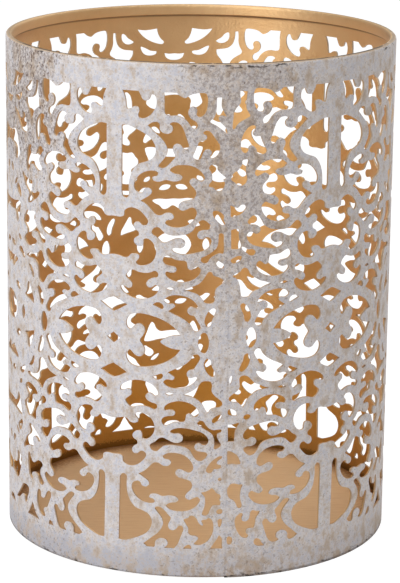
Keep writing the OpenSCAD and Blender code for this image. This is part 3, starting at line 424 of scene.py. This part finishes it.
# The holes that the seam runs between, as right and left of it they differ from the motif's: each
# point's distance to the seam, and its height in a pattern that is this high
SEAM_HEIGHT_SHARE = 123.4
RIGHT_OF_SEAM_SHARES = {
    "fan": [(2.2, 123.4, 1), (4.1, 123.3, 1), (3.9, 121.8), (3.8, 120.3), (3.9, 119), (4.5, 118),
        (4.8, 117.2), (3.6, 116.5), (2.3, 115.8), (1.5, 115), (1, 114.2), (0.5, 114.2), (0.45, 115.6),
        (0.6, 117), (0.7, 118.1), (1.3, 119.3), (2.1, 120.2), (2.4, 121), (2.2, 122.2)],
    "horn": [(2.5, 110.4), (2.8, 112.2), (3.5, 113.6), (4.4, 114.6), (5.4, 115), (6.2, 114.7),
        (6, 113.8), (5.5, 113), (6.1, 112.3), (7.4, 112.3), (7.9, 111.2), (8.5, 109.9), (9.1, 108.8),
        (8.8, 108), (7.7, 107.8), (6.7, 108.2), (6.3, 109.3), (5.4, 110.1), (4.6, 109.8), (4.4, 108.8),
        (3.8, 108.2), (3.1, 108.5), (2.6, 109.3)],
    "yoke": [(3, 106.5), (4.4, 106.7), (4.3, 105.6), (3.9, 104.5), (4, 103.2), (4.3, 102), (4, 101),
        (3.1, 100.3), (2.1, 100.4), (1.2, 101.1), (0.3, 101.8), (0.5, 102.9), (1, 103.6), (1.9, 104.1),
        (2.5, 104.9), (2.9, 105.6)],
    "claw": [(0.2, 95.5), (1, 95.2), (2, 94.9), (2.8, 95.6), (3.6, 95.6), (4.1, 94.9), (3.6, 94.1),
        (2.9, 93.3), (1.9, 92.9), (0.9, 92.6), (0.3, 92.7), (0.25, 93.8), (0.2, 94.7)],
    "slab": [(0.4, 89.4, 1), (1.4, 89.7), (2.4, 89.5), (2.4, 88.2), (2.6, 86.9), (3, 85.7), (2.8, 84.8),
        (1.8, 84.6), (0.5, 84.7, 1)],
    "toe": [(3.1, 85.2), (3.8, 85.1), (4.7, 84.5), (5.8, 84.6), (6.7, 83.8), (6.3, 83), (5.3, 82.9),
        (4.4, 83.6), (3.4, 84.4)],
    "chip": [(0.4, 82), (1.3, 82.6), (2.3, 83), (3.2, 82.8), (3, 81.9), (2.1, 81.3), (0.9, 81.1)],
    "kite": [(1, 77.9), (1.7, 78.6), (2.7, 78.9), (3.3, 79.7), (4.1, 80), (4.9, 79.4), (5.5, 78.2),
        (6.6, 77.4), (7.9, 76.6), (9.3, 76.2), (10.9, 75.6, 1), (9.3, 75.1), (7.8, 74.4), (6.5, 74),
        (5.6, 73.3), (5, 72.6), (3.3, 72.7), (3, 74), (2.8, 75.4), (2.4, 76.6), (1.9, 77.3)],
    "nail": [(0.5, 51.6), (0.9, 52.7), (1.3, 52.5), (1.2, 51.3), (0.8, 50.5)],
    "low_kite": [(3.1, 52.2), (4.1, 52.7), (5.2, 52.4), (6.1, 51.5), (7, 50.6), (8.2, 50.1),
        (9.4, 49.5), (10.9, 49, 1), (9.3, 48.8), (7.6, 48.5), (6.2, 47.5), (5.2, 46.5), (4.6, 45.2),
        (4, 44.6), (3.4, 45.2), (2.6, 45.8), (1.4, 45.9), (0.5, 46.4), (0.6, 47.2), (1.5, 48),
        (2.5, 48.7), (3.1, 49.6), (3.1, 50.9)],
    "low_chip": [(0.3, 43.8), (0.9, 44.2), (1.8, 43.9), (2.5, 43.2), (2.5, 42.4), (1.6, 42.4),
        (0.4, 42.7)],
    "crumb": [(4.2, 42), (4.8, 42.6), (5.8, 42.5), (6.1, 41.9), (5.5, 41.3), (4.6, 41.3)],
    "low_slab": [(0.3, 40.2, 1), (1.6, 40.2), (3.2, 40.5), (2.7, 39.4), (2.2, 38.3), (2.1, 37),
        (2, 35.7, 1), (0.4, 35.7, 1)],
    "low_claw": [(0.3, 33.2), (0.9, 33.3), (1.9, 32.8), (2.8, 32.1), (3.4, 31), (3.7, 29.9),
        (2.9, 29.7), (1.8, 29.9), (0.4, 29.8, 1)],
    "low_yoke": [(0.5, 23.6), (1.3, 24.7), (2.3, 24.8), (3.3, 24.5), (4.3, 24.4), (3.9, 23.2),
        (3.7, 21.8), (3.8, 20.4), (4.2, 19), (3.9, 18.3), (3.1, 18.4), (2.7, 19.3), (2.1, 20.3),
        (1.2, 20.8), (0.6, 21.6), (0.4, 22.6)],
    "low_horn": [(2.4, 14.6), (2.6, 15.8), (3.3, 16.6), (4.1, 17), (4.5, 16.5), (4.2, 15.7),
        (4.4, 14.9), (5.2, 14.7), (5.9, 15.1), (6.2, 16), (6.4, 17.1), (7, 17.5), (8, 17.2),
        (8.9, 17.1), (8.6, 16.3), (7.9, 15.2), (7.7, 13.8), (7.3, 12.8), (6.3, 12.8), (5.5, 12.5),
        (5.4, 11.6), (6, 10.9), (5.6, 10.3), (4.6, 10.4), (3.6, 11.3), (2.8, 12.8)],
    "stub": [(0.5, 10.6), (1, 10.9), (1.7, 10.6), (1.9, 9.7), (1.6, 8.9), (1, 8.7), (0.5, 9.3)],
}
LEFT_OF_SEAM_SHARES = {
    "fan": [(-3.4, 121.9, 1), (-2.1, 121.9, 1), (-2.2, 120.7), (-2.2, 119.6), (-1.7, 118.5),
        (-0.95, 117.2, 1), (-2, 117.5), (-2.6, 117.4), (-2.9, 116.8), (-2.6, 116), (-1.9, 115.3),
        (-1.1, 114.4), (-0.7, 113, 1), (-1.9, 113.9), (-3.4, 115), (-4.9, 115.8), (-4.9, 116.3),
        (-4.2, 116.8), (-3.8, 117.6), (-3.5, 118.8), (-3.4, 120.4)],
    "horn": [(-6.6, 113.4), (-5.9, 113.9), (-5, 113.7), (-4.2, 112.8), (-3.4, 111.6), (-2.6, 110.5),
        (-2.5, 109.4), (-2.8, 108.3), (-3.6, 107.4), (-4.5, 107.1), (-4.9, 107.6), (-4.5, 108.5),
        (-4.9, 109.2), (-6, 109.2), (-6.6, 108.3), (-7.1, 107), (-8, 106.7), (-9, 107.3), (-8.5, 108.8),
        (-7.9, 110.3), (-7.5, 111.1), (-6.6, 111.4), (-5.8, 111.8), (-5.7, 112.6), (-6.3, 112.9)],
    "yoke": [(-4.8, 105.4), (-3.9, 105.6), (-3.1, 105.2), (-3, 104.3), (-2.5, 103.7), (-1.7, 103),
        (-0.9, 102.2), (-1.6, 101.8), (-1.2, 101.2), (-1.3, 100.3), (-1.8, 99.4), (-2.6, 99),
        (-3.4, 99.3), (-4, 99.9), (-5.1, 100.2), (-5, 100.9), (-4.4, 101.6), (-4.3, 102.8),
        (-4.6, 103.8), (-5.1, 104.6)],
    "claw": [(-4.1, 94), (-3.5, 94.3), (-2.8, 94.2), (-1.9, 93.7), (-1.3, 92.8), (-1.4, 91.9), (-1, 91),
        (-1.5, 90.6), (-2.3, 91), (-3.2, 91.9), (-3.9, 92.9)],
    "boot": [(-2.5, 88.5), (-1.8, 88.7), (-1.3, 88.2), (-1.3, 86.6), (-1.2, 85), (-1.4, 83.6),
        (-2.3, 83.7), (-3.3, 83.3), (-4.6, 82.4), (-5.1, 81.5), (-6, 81.2), (-6.8, 81.7), (-6.7, 82.6),
        (-5.6, 83.1), (-4.1, 84.1), (-3.1, 85), (-2.7, 86.2), (-2.6, 87.4)],
    "chip": [(-3.1, 81.2), (-2.6, 81.8), (-2, 81.5), (-1.2, 80.9), (-1.3, 80), (-2, 79.9),
        (-2.7, 80.4)],
    "kite": [(-10.9, 74.5, 1), (-9, 75.3), (-7.4, 76), (-6.3, 77), (-5.6, 78.2), (-4.9, 79.1),
        (-4.1, 79), (-3.7, 78.2), (-2.5, 77.8), (-1.5, 77.2), (-1.1, 76.6), (-2, 75.7), (-2.9, 75),
        (-3.3, 74), (-3.3, 72.6), (-3.5, 71.5), (-4.6, 71.1), (-5.7, 71.3), (-6.5, 72.3), (-7.4, 73.3),
        (-8.8, 73.9)],
    "low_kite": [(-10.9, 47.9, 1), (-9, 48.7), (-7.8, 49.5), (-7, 50.4), (-6.2, 51.3), (-5.2, 51.5),
        (-4.1, 51.3), (-3.7, 50.3), (-3.8, 48.9), (-3.1, 47.8), (-2.2, 47), (-1.3, 46.2), (-1.1, 45.3),
        (-1.8, 44.7), (-3, 44.6), (-4.1, 44.1), (-4.7, 43.3), (-5.3, 44), (-6.1, 45.5), (-7.2, 46.6),
        (-9, 47.5)],
    "low_chip": [(-3.6, 41.5), (-2.9, 42.3), (-1.9, 42.8), (-1.2, 42.6), (-1.4, 41.8), (-2.2, 41.2),
        (-3.1, 40.6), (-3.6, 40.8)],
    "low_boot": [(-7.3, 40.6), (-6.7, 41.3), (-5.8, 41.2), (-5.2, 40.3), (-4.4, 39.4), (-3.3, 38.9),
        (-2.2, 39), (-1.3, 39), (-1.3, 38.3), (-2.2, 37.9), (-2.3, 37), (-1.8, 36), (-1.3, 35),
        (-1.8, 34.3), (-3, 33.9), (-3, 35.3), (-3.1, 36.7), (-3.7, 37.9), (-5, 38.8), (-6.4, 39.7)],
    "low_claw": [(-5, 28.6), (-4.5, 29.6), (-3.6, 30.8), (-2.6, 31.6), (-1.7, 32.1), (-0.9, 32),
        (-1.2, 31.4), (-2, 30.9), (-2.3, 30.2), (-1.9, 29.9), (-1.3, 29.8), (-1.3, 29), (-2.1, 28.7),
        (-3, 28.7), (-3.4, 28), (-4.2, 27.7), (-4.8, 28)],
    "speck": [(-2, 26), (-1.7, 26.5), (-1.2, 26.4), (-1.1, 25.9), (-1.5, 25.6)],
    "low_yoke": [(-6.1, 22.6), (-5.2, 22.9), (-4.3, 23.2), (-3.5, 23.8), (-2.9, 23.4), (-2.4, 22.6),
        (-1.5, 22.1), (-1.2, 21.4), (-1.5, 20.7), (-1.2, 20), (-1.4, 19.3), (-2.4, 19.3), (-3.3, 19.1),
        (-3.9, 17.9), (-4.4, 16.8), (-5.4, 16.6), (-5.9, 17.1), (-5.4, 18.4), (-5.1, 19.9),
        (-5.2, 21.4)],
    "bead": [(-2.3, 17.7), (-1.8, 18.2), (-1.2, 18.3), (-0.7, 17.9), (-0.8, 17.2), (-1.4, 16.9),
        (-2, 17.1)],
    "seed": [(-1.9, 15.2), (-1.5, 15.7), (-0.9, 15.6), (-0.8, 14.8), (-1.1, 13.8), (-1.5, 13.4),
        (-1.8, 14.2)],
    "low_horn": [(-10.4, 15.5), (-9.5, 15.9), (-8.6, 16.1), (-7.8, 15.9), (-7.5, 14.9), (-7.1, 13.8),
        (-6.4, 13.3), (-5.6, 13.6), (-5.6, 14.4), (-6, 15.2), (-5.2, 15.6), (-4.4, 15.4), (-3.9, 14.6),
        (-3.6, 13.2), (-3.7, 11.9), (-4.2, 10.6), (-5.1, 9.4), (-6.3, 8.8), (-7.8, 9.1), (-7.2, 9.9),
        (-6.7, 10.6), (-7.3, 11.2), (-8.6, 11.4), (-9.2, 12), (-9.2, 13.2), (-9.8, 14.3)],
    "wedge": [(-1.5, 11.4, 1), (-0.8, 10.5), (-0.7, 8.8), (-0.6, 7.4, 1), (-2, 7.3), (-4, 7.4, 1),
        (-3.2, 8.7), (-2.3, 10)],
}

# How finely the curves, the round wall, the arc beside the seam and the hem's fold are made
CURVE_STEPS = 3
BEND_LINES = 144
BLEND_LINES = 4
FOLD_STEPS = 8
SHARP_ANGLE = math.radians(35)

# For cutting the flat sheet: how near two points in millimetres count as one, how near two heights
# in metres do, and that only triangles inside the outlines are wanted
CUT_TOLERANCE = 1e-5
SAME_HEIGHT = MM / 100
INSIDE_ONLY = 1


def mirrored(points, axis, line):
    """The points of an outline, then the mirror images of those that are off the line."""
    images = []
    for point in reversed(points):
        if point[axis] != line:
            image = list(point)
            image[axis] = 2 * line - image[axis]
            images.append(tuple(image))
    return list(points) + images


def rounded(points):
    """A smooth curve through the points of an outline, with the corners that are marked kept."""
    count = len(points)
    places = [Vector(point[:2]) for point in points]
    ways = []
    for i, point in enumerate(points):
        before, after = places[i - 1], places[(i + 1) % count]
        reach = (places[i] - before).length + (after - places[i]).length
        ways.append(Vector((0, 0)) if len(point) > 2 else (after - before) / reach)
    curve = []
    for i, start in enumerate(places):
        end, way_out, way_in = places[(i + 1) % count], ways[i], ways[(i + 1) % count]
        span = (end - start).length
        for k in range(CURVE_STEPS):
            t = k / CURVE_STEPS
            curve.append(
                start * (2 * t**3 - 3 * t**2 + 1)
                + way_out * span * (t**3 - 2 * t**2 + t)
                + end * (3 * t**2 - 2 * t**3)
                + way_in * span * (t**3 - t**2)
            )
    return curve


def quarter_outlines():
    """Each hole of the quarter as a closed curve, with the ways in which it is mirrored."""
    both = (1, -1)
    for outline in SIDE_SHARES.values():
        yield rounded(outline), both, both
    for outline in AXIS_SHARES.values():
        yield rounded(mirrored(outline, 0, 0)), (1,), both
    for outline in JOINT_SHARES.values():
        yield rounded(mirrored(outline, 0, QUARTER_SHARES[0])), (1,), both
    for outline in MIDDLE_SHARES.values():
        yield rounded(mirrored(outline, 1, 0)), both, (1,)
    stud = mirrored(mirrored(STUD_SHARES, 1, 0), 0, 0)
    yield rounded(stud), (1,), (1,)
    slot = mirrored(mirrored(SLOT_SHARES, 1, 0), 0, QUARTER_SHARES[0])
    yield rounded(slot), (1,), (1,)


def on_motif(point, motif, side, half):
    """Where a point of the quarter lies on the flat sheet: the arc from the seam, and the height."""
    across = side * point.x / QUARTER_SHARES[0] * MOTIF / 2
    rise = half * point.y / QUARTER_SHARES[1] * HALF_HEIGHT * (1 if half > 0 else LOWER_SQUEEZE)
    arc = END_RUN + motif * MOTIF + across
    lean = FOOT_LEAN * max(0, -rise / HALF_HEIGHT) ** 2
    drop = PATTERN_DROP * (0.5 - arc / GIRTH)
    return arc - lean, HALF_HEIGHT + drop + rise


def holes_in_sheet():
    """Each hole as an outline on the flat sheet: the motif's, then those beside the seam."""
    made = []
    for outline, sides, halves in quarter_outlines():
        for motif in range(JOINTS + 1):
            for side in sides:
                for half in halves:
                    hole = [on_motif(point, motif, side, half) for point in outline]
                    nearest = min(min(arc, GIRTH - arc) for arc, _ in hole)
                    top = max(height for _, height in hole)
                    if nearest > SEAM_ZONE and top > FOOT_BAND + LEAST_REST:
                        made.append(hole)
    wide = MOTIF / 2 / QUARTER_SHARES[0]
    tall = 2 * HALF_HEIGHT / SEAM_HEIGHT_SHARE
    for start, table in ((0, RIGHT_OF_SEAM_SHARES), (GIRTH, LEFT_OF_SEAM_SHARES)):
        for outline in table.values():
            curve = rounded(outline)
            made.append([(start + point.x * wide, point.y * tall) for point in curve])
    return made


def pierced_sheet():
    """Triangles of the flat sheet between its holes, cut along the lines that it bends at."""
    start, end = RIGHT_MARGIN, GIRTH - LEFT_MARGIN
    sheet = [(0, 0), (GIRTH, 0), (GIRTH, WALL_TOP), (0, WALL_TOP)]
    window = [(start, FOOT_BAND), (end, FOOT_BAND), (end, HEIGHT), (start, HEIGHT)]
    points, faces, edges = [], [], []
    for outline in [sheet, window] + holes_in_sheet():
        ring = np.array(outline)
        ahead = np.roll(ring, -1, axis=0)
        if np.sum(ring[:, 0] * ahead[:, 1] - ahead[:, 0] * ring[:, 1]) < 0:
            ring = ring[::-1]
        faces.append(list(range(len(points), len(points) + len(ring))))
        points += [Vector(place) / MM for place in ring]
    bends = [GIRTH * k / BEND_LINES for k in range(1, BEND_LINES)]
    bends += [SEAM_BLEND * k / BLEND_LINES for k in range(1, BLEND_LINES)]
    for arc in bends:
        edges.append((len(points), len(points) + 1))
        points += [Vector((arc, 0)) / MM, Vector((arc, WALL_TOP)) / MM]
    cut = delaunay_2d_cdt(points, edges, faces, INSIDE_ONLY, CUT_TOLERANCE, True)
    places, _, triangles, _, _, sources = cut
    # Of the outlines above, 0 is the sheet, 1 the window, and the rest the holes, which cut only in it
    kept = []
    for triangle, source in zip(triangles, sources):
        in_hole = 1 in source and max(source) > 1
        if 0 in source and not in_hole:
            kept.append(triangle)
    used = sorted({corner for triangle in kept for corner in triangle})
    number = {old: new for new, old in enumerate(used)}
    flat = np.array([places[i][:] for i in used]) * MM
    return flat, [[number[i] for i in triangle] for triangle in kept]


def step(start, end, value):
    """0 below start, 1 above end, smooth between."""
    share = np.clip((value - start) / (end - start), 0, 1)
    return share * share * (3 - 2 * share)


def rolled(flat, depth):
    """Places on the rolled sheet, at a depth under its outer face, for places on the flat one."""
    arc, height = flat[:, 0], flat[:, 1]
    under = SEAM_STEP * (1 - step(0, SEAM_BLEND, arc)) * (1 - step(*SEAM_FADE, height))
    radius = RADIUS - under - depth
    angle = SEAM_ANGLE - math.pi / 2 + arc / RADIUS
    lift = FOOT_LIFT * np.clip(arc / GIRTH, 0, 1) ** 4 * np.clip(1 - height / FOOT_BAND, 0, 1)
    return np.stack([radius * np.cos(angle), radius * np.sin(angle), height + lift], axis=1)


flat, triangles = pierced_sheet()
count = len(flat)
vertices = np.concatenate([rolled(flat, 0), rolled(flat, SHEET)])
inward = [0.0] * count + [1.0] * count
faces = [tuple(triangle) for triangle in triangles]
faces += [tuple(count + i for i in reversed(triangle)) for triangle in triangles]

# The cut edges: an edge of the flat sheet that only one triangle uses has a wall under it
sides = {}
for triangle in triangles:
    for i in range(3):
        start, end = triangle[i], triangle[(i + 1) % 3]
        if (end, start) in sides:
            del sides[end, start]
        else:
            sides[start, end] = True
at_head = flat[:, 1] > WALL_TOP - SAME_HEIGHT
rim_edges = [side for side in sides if at_head[side[0]] and at_head[side[1]]]
open_at_head = set(rim_edges)
for start, end in sides:
    if (start, end) not in open_at_head:
        faces.append((end, start, count + start, count + end))


# The hem: the sheet goes on up, over a half round fold and down again inside
def hem_section():
    """Depth, height and share of the way inwards, along each side of the folded sheet."""
    crest = HEIGHT - FOLD
    foot = HEIGHT - HEM_HEIGHT
    outer = [(0, WALL_TOP, 0), (0, crest, 0)]
    inner = [(SHEET, WALL_TOP, 1), (SHEET, crest, 1)]
    for k in range(1, FOLD_STEPS + 1):
        angle = math.pi * k / FOLD_STEPS
        across, above = 1 - math.cos(angle), math.sin(angle)
        outer.append((FOLD * across, crest + FOLD * above, k / FOLD_STEPS))
        inner.append((SHEET + HEM_GAP / 2 * across, crest + HEM_GAP / 2 * above, 1))
    deep, shallow = 2 * FOLD, 2 * FOLD - SHEET
    outer += [(deep, foot + HEM_BEVEL, 1), (deep - HEM_BEVEL, foot, 1)]
    inner += [(shallow, foot + HEM_BEVEL, 1), (shallow + HEM_BEVEL, foot, 1)]
    return outer, inner


outer_side, inner_side = hem_section()
rim_points = sorted({end for edge in rim_edges for end in edge}, key=lambda i: flat[i, 0])
rim_arcs = flat[rim_points, 0]
columns = {}
for side, section in enumerate((outer_side, inner_side)):
    rows = [[side * count + i for i in rim_points]]
    for depth, height, share in section[1:]:
        start = len(inward)
        ring = np.stack([rim_arcs, np.full(len(rim_arcs), height)], axis=1)
        vertices = np.concatenate([vertices, rolled(ring, depth)])
        inward += [share] * len(rim_arcs)
        rows.append(list(range(start, start + len(rim_arcs))))
    columns[side] = rows
loop = columns[0] + columns[1][::-1]
for below, above in zip(loop, loop[1:]):
    for k in range(len(rim_points) - 1):
        faces.append((below[k], below[k + 1], above[k + 1], above[k]))
for end in (0, -1):
    outer_end = [row[end] for row in columns[0]]
    inner_end = [row[end] for row in columns[1]]
    for k in range(len(outer_side) - 1):
        cap = (outer_end[k], outer_end[k + 1], inner_end[k + 1], inner_end[k])
        faces.append(cap if end == 0 else cap[::-1])

sleeve = new_object("pierced_sleeve", vertices.tolist(), faces)
share = sleeve.data.attributes.new("inward", "FLOAT", "POINT")
share.data.foreach_set("value", inward)
sleeve.data.shade_smooth()
sleeve.data.set_sharp_from_angle(angle=SHARP_ANGLE)

# The finish: gold all over, and a chalky wash on the outside
WASH = (0.82, 0.78, 0.78, 1)
WASH_COOL = (0.65, 0.65, 0.72, 1)
WASH_WARM = (0.62, 0.51, 0.42, 1)
SEAM_GREY = (0.42, 0.38, 0.38, 1)
FOOT_GREY = (0.50, 0.50, 0.56, 1)
TAN = (0.46, 0.33, 0.22, 1)
BROWN = (0.28, 0.195, 0.14, 1)
SPECK = (0.15, 0.095, 0.07, 1)
# Dark brown for the rim scuffs and foot marks, and also for the painted shade along the foot and the
# rim's crest
SCUFF_AND_SHADE_DARK = (0.035, 0.025, 0.02, 1)
BARE_EDGE = (0.60, 0.45, 0.31, 1)
GOLD = (0.91, 0.58, 0.25, 1)
GOLD_DEEP = (0.80, 0.46, 0.15, 1)
GOLD_PAINTED_SHEEN = (0.90, 0.64, 0.37, 1)
GOLD_FOOT = (0.86, 0.48, 0.07, 1)
# Dark brown for the painted shadow under the hem, also used to darken the gold low down
UNDER_HEM = (0.14, 0.07, 0.03, 1)
GOLD_LOW_DARK = (0.26, 0.12, 0.01, 1)

# Zones of the finish, in degrees to the right of the front. Each pair of numbers goes from where
# there is no effect to where it is full, and a zone of two pairs lies between them
UPPER_LEFT = ((-95, -72), (-34, -52))
NEAR_SEAM = ((-16, 4), (38, 16))
RIGHT_SIDE = (-22, 25)
FAR_RIGHT = (25, 55)
RIM_SCUFFS = (((-56, -54), (-49, -51)), ((-8, -3), (27, 23)), ((62, 66), (78, 73)))
FRONT_OF_RIM = ((-72, -60), (75, 60))

# And in millimetres above the table
WORN_AT_LEFT = (84, 112)
WORN_AT_SEAM = (62, 88)
STAINED_FOOT = (9.5, 2.5)
SCUFFED_RIM = (128.7, 129.1)
PAINTED_FOOT_SHADE = (0.9, 0.35)
BRUSHED_FOOT = (1.6, 0.8)
PAINTED_SHEEN_HEAD = (104, 120)
DEEP_FOOT = (44, 18)
HEM_SHADE = ((126.4, 126.8), (127.3, 127.1))
DARKER_LOW_DOWN = (15, 5)
LOW_DARK_LINE = (5.3, 4.8)
ON_RIM = (128.9, 129.1)

# The relief of wash and gold, and how strongly and in which direction the gold is drawn
BUMP_DEPTH = 0.3 * MM
DRAWN = 0.85
DRAWN_TURN = 0.25


def in_millimetres(finish):
    """The place on the piece, in millimetres, and its three numbers apart."""
    origin = finish.node("TexCoord", output="Object")
    place = finish.node("VectorMath", {"operation": "SCALE"}, {0: origin, "Scale": 1 / MM})
    return place, [finish.node("SeparateXYZ", None, {0: place}, output=axis) for axis in "XYZ"]


finish = Finish(bpy.data.materials.new("whitewashed_steel"))
place, (x, y, z) = in_millimetres(finish)
turn = x.maths("ARCTAN2", y * -1) * math.degrees(1)
depth = finish.node("Attribute", {"attribute_name": "inward"}, output="Fac")
streaked = finish.stretched(place, (1, 1, 0.65))
flattened = finish.stretched(place, (0.5, 0.5, 1.4))
clouds = finish.noise(place, 0.06, 4, 0.6)
patches = finish.noise(streaked, 0.34, 5, 0.65)
dashes = finish.noise(streaked, 1.5, 2, 0.6)
mottle = finish.noise(place, 0.8, 4, 0.65)
crumbs = finish.noise(place, 1.25, 3, 0.7)
grain = finish.noise(place, 2.1, 2, 0.6)
strokes = finish.noise(flattened, 0.9, 3, 0.65)

# The zones, whose edges wander: the upper left, beside the seam, the foot, and the right side
wobble = (clouds - 0.5) * 60
left_zone = (turn + wobble).within(*UPPER_LEFT)
left_zone = left_zone * (0.25 + (z + wobble * 0.5).between(*WORN_AT_LEFT) * 0.75)
seam_zone = (turn + wobble * 0.5).within(*NEAR_SEAM)
seam_zone = seam_zone * (0.3 + (z + wobble * 0.4).between(*WORN_AT_SEAM) * 0.7)
foot_zone = (z + (patches - 0.5) * 20).between(*STAINED_FOOT)
right_zone = turn.between(*RIGHT_SIDE)
far_right = turn.between(*FAR_RIGHT)

# The wash: cool and warm patches, greyer at the foot
cool = (mottle * 0.8 + grain * 0.2).between(0.43, 0.59) * 0.75 + patches.between(0.47, 0.35) * 0.35
wash = finish.mix(WASH, WASH_COOL, cool)
wash = finish.mix(wash, FOOT_GREY, foot_zone * (0.8 - right_zone * 0.5))
warm = patches.between(0.46, 0.64) * 0.55 + crumbs.between(0.5, 0.34) * 0.6
warm = warm + right_zone * 0.13 + far_right * 0.1 + seam_zone * 0.15
wash = finish.mix(wash, WASH_WARM, warm)

# What shows through it or lies on it: tan stains, grey beside the seam, a brown network and specks
stains = patches + foot_zone * (0.05 + right_zone * 0.09)
stains = stains + seam_zone * 0.05 + left_zone * 0.03 + right_zone * 0.02
wash = finish.mix(wash, TAN, stains.between(0.57, 0.74) * 0.6)
wash = finish.mix(wash, SEAM_GREY, seam_zone * mottle.between(0.42, 0.6) * 0.25)
rubbed = left_zone * 0.17 + seam_zone * 0.13 + foot_zone * 0.02 + right_zone * 0.01
wash = finish.mix(wash, BROWN, (crumbs + rubbed).between(0.59, 0.72) * 0.6)
specks = dashes + left_zone * 0.16 + seam_zone * 0.02
wash = finish.mix(wash, SPECK, specks.between(0.70, 0.78) * 0.85)

# Dark scuffs along the outer edge of the rim, and at the foot an even dark line of painted shade where
# it stands on the table, with dark marks along it
rim_scuffs = sum(turn.within(*zone) for zone in RIM_SCUFFS)
rim_scuffs = rim_scuffs * z.between(*SCUFFED_RIM) * (strokes + 0.03).between(0.54, 0.6)
# Painted shade: an even dark line along the very foot, with broken dark marks on top of it
foot_shade_and_marks = z.between(*PAINTED_FOOT_SHADE) * 0.45 + z.between(*BRUSHED_FOOT) * strokes.between(0.56, 0.62) * 0.6
wash = finish.mix(wash, SCUFF_AND_SHADE_DARK, (rim_scuffs * 0.85 + foot_shade_and_marks).clamped())

# The gold: cloudy and deeper at the foot, with a painted sheen that makes it paler at the head,
# a painted shadow as a dark line under the hem, and darker low down along the pan
gold = finish.mix(GOLD, GOLD_DEEP, clouds.between(0.35, 0.7))
# Painted sheen: the gold made paler towards the head
gold = finish.mix(gold, GOLD_PAINTED_SHEEN, z.between(*PAINTED_SHEEN_HEAD) * 0.55)
gold = finish.mix(gold, GOLD_FOOT, z.between(*DEEP_FOOT) * 0.6)
# Painted shadow: a dark line on the wall just under the hem
gold = finish.mix(gold, UNDER_HEM, z.within(*HEM_SHADE) * 0.6)
gold = finish.mix(gold, UNDER_HEM, (z + (grain - 0.5) * 5).between(*DARKER_LOW_DOWN) * 0.15)
gold = finish.mix(gold, GOLD_LOW_DARK, (z + (grain - 0.5) * 3).between(*LOW_DARK_LINE) * 0.65)

# From the wash outside to the gold inside, over cut edges that are rubbed bare, with a broken dark
# line of painted shade along the crest of the rim, strongest at the front
on_rim = z.between(*ON_RIM)
bare = (depth - on_rim * 0.08 + (grain - 0.5) * 0.2).between(0.1, 0.2)
colour = finish.mix(wash, BARE_EDGE, bare)
colour = finish.mix(colour, gold, (depth + on_rim * 0.25).between(0.75, 0.9))
# Painted shade: a broken dark line along the crest of the rim, stronger at the front
crest = on_rim * depth.within((0.30, 0.38), (0.68, 0.6)) * strokes.between(0.3, 0.45)
crest = crest * (0.35 + turn.within(*FRONT_OF_RIM) * 0.65)
colour = finish.mix(colour, SCUFF_AND_SHADE_DARK, crest * 0.85)
metal = depth.between(0.4, 0.9)
relief = {"Strength": 0.5, "Distance": BUMP_DEPTH, "Height": mottle + grain * 0.6}
finish.output(
    finish.surface(
        Base_Color=colour,
        Metallic=metal * 0.95,
        Roughness=0.75 - metal * 0.24,
        Coat_Weight=metal * 0.6,
        Coat_Roughness=0.45,
        Anisotropic=DRAWN,
        Anisotropic_Rotation=DRAWN_TURN,
        Normal=finish.node("Bump", None, relief),
    )
)
sleeve.data.materials.append(finish.owner)

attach(sleeve, "root")
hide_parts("sleeve")


# Pan
# The floor of the holder, one disc of the same sheet pressed to a short flange that is pushed up
# into the foot of the sleeve. It is brushed gold from side to side, and darker towards its edge.
PAN_GOLD = (0.85, 0.635, 0.385, 1)
PAN_LINE = (0.62, 0.38, 0.18, 1)
PAN_DARK_EDGE = (0.22, 0.10, 0.03, 1)
DARK_EDGE_MM = (41.5, 48.5)

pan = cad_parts["base_pan"]
finish = Finish(bpy.data.materials.new("gold_pan"))
place, (x, y, _) = in_millimetres(finish)
lines = finish.noise(finish.stretched(place, (0.1, 1.3, 1)), 1.5, 4, 0.65)
grain = finish.noise(place, 1.6, 3, 0.6)
from_middle = (x * x + y * y).maths("POWER", 0.5)
dark_edge = (from_middle + (grain - 0.5) * 6).between(*DARK_EDGE_MM)
colour = finish.mix(PAN_GOLD, PAN_LINE, lines.between(0.42, 0.66) * 0.3)
colour = finish.mix(colour, PAN_DARK_EDGE, dark_edge * 0.95)
relief = {"Strength": 0.2, "Distance": BUMP_DEPTH, "Height": grain + lines * 0.4}
finish.output(
    finish.surface(
        Base_Color=colour,
        Metallic=0.4,
        Roughness=0.4 + grain * 0.1,
        Normal=finish.node("Bump", None, relief),
    )
)
pan.data.materials.clear()
pan.data.materials.append(finish.owner)

bpy.context.view_layer.update()
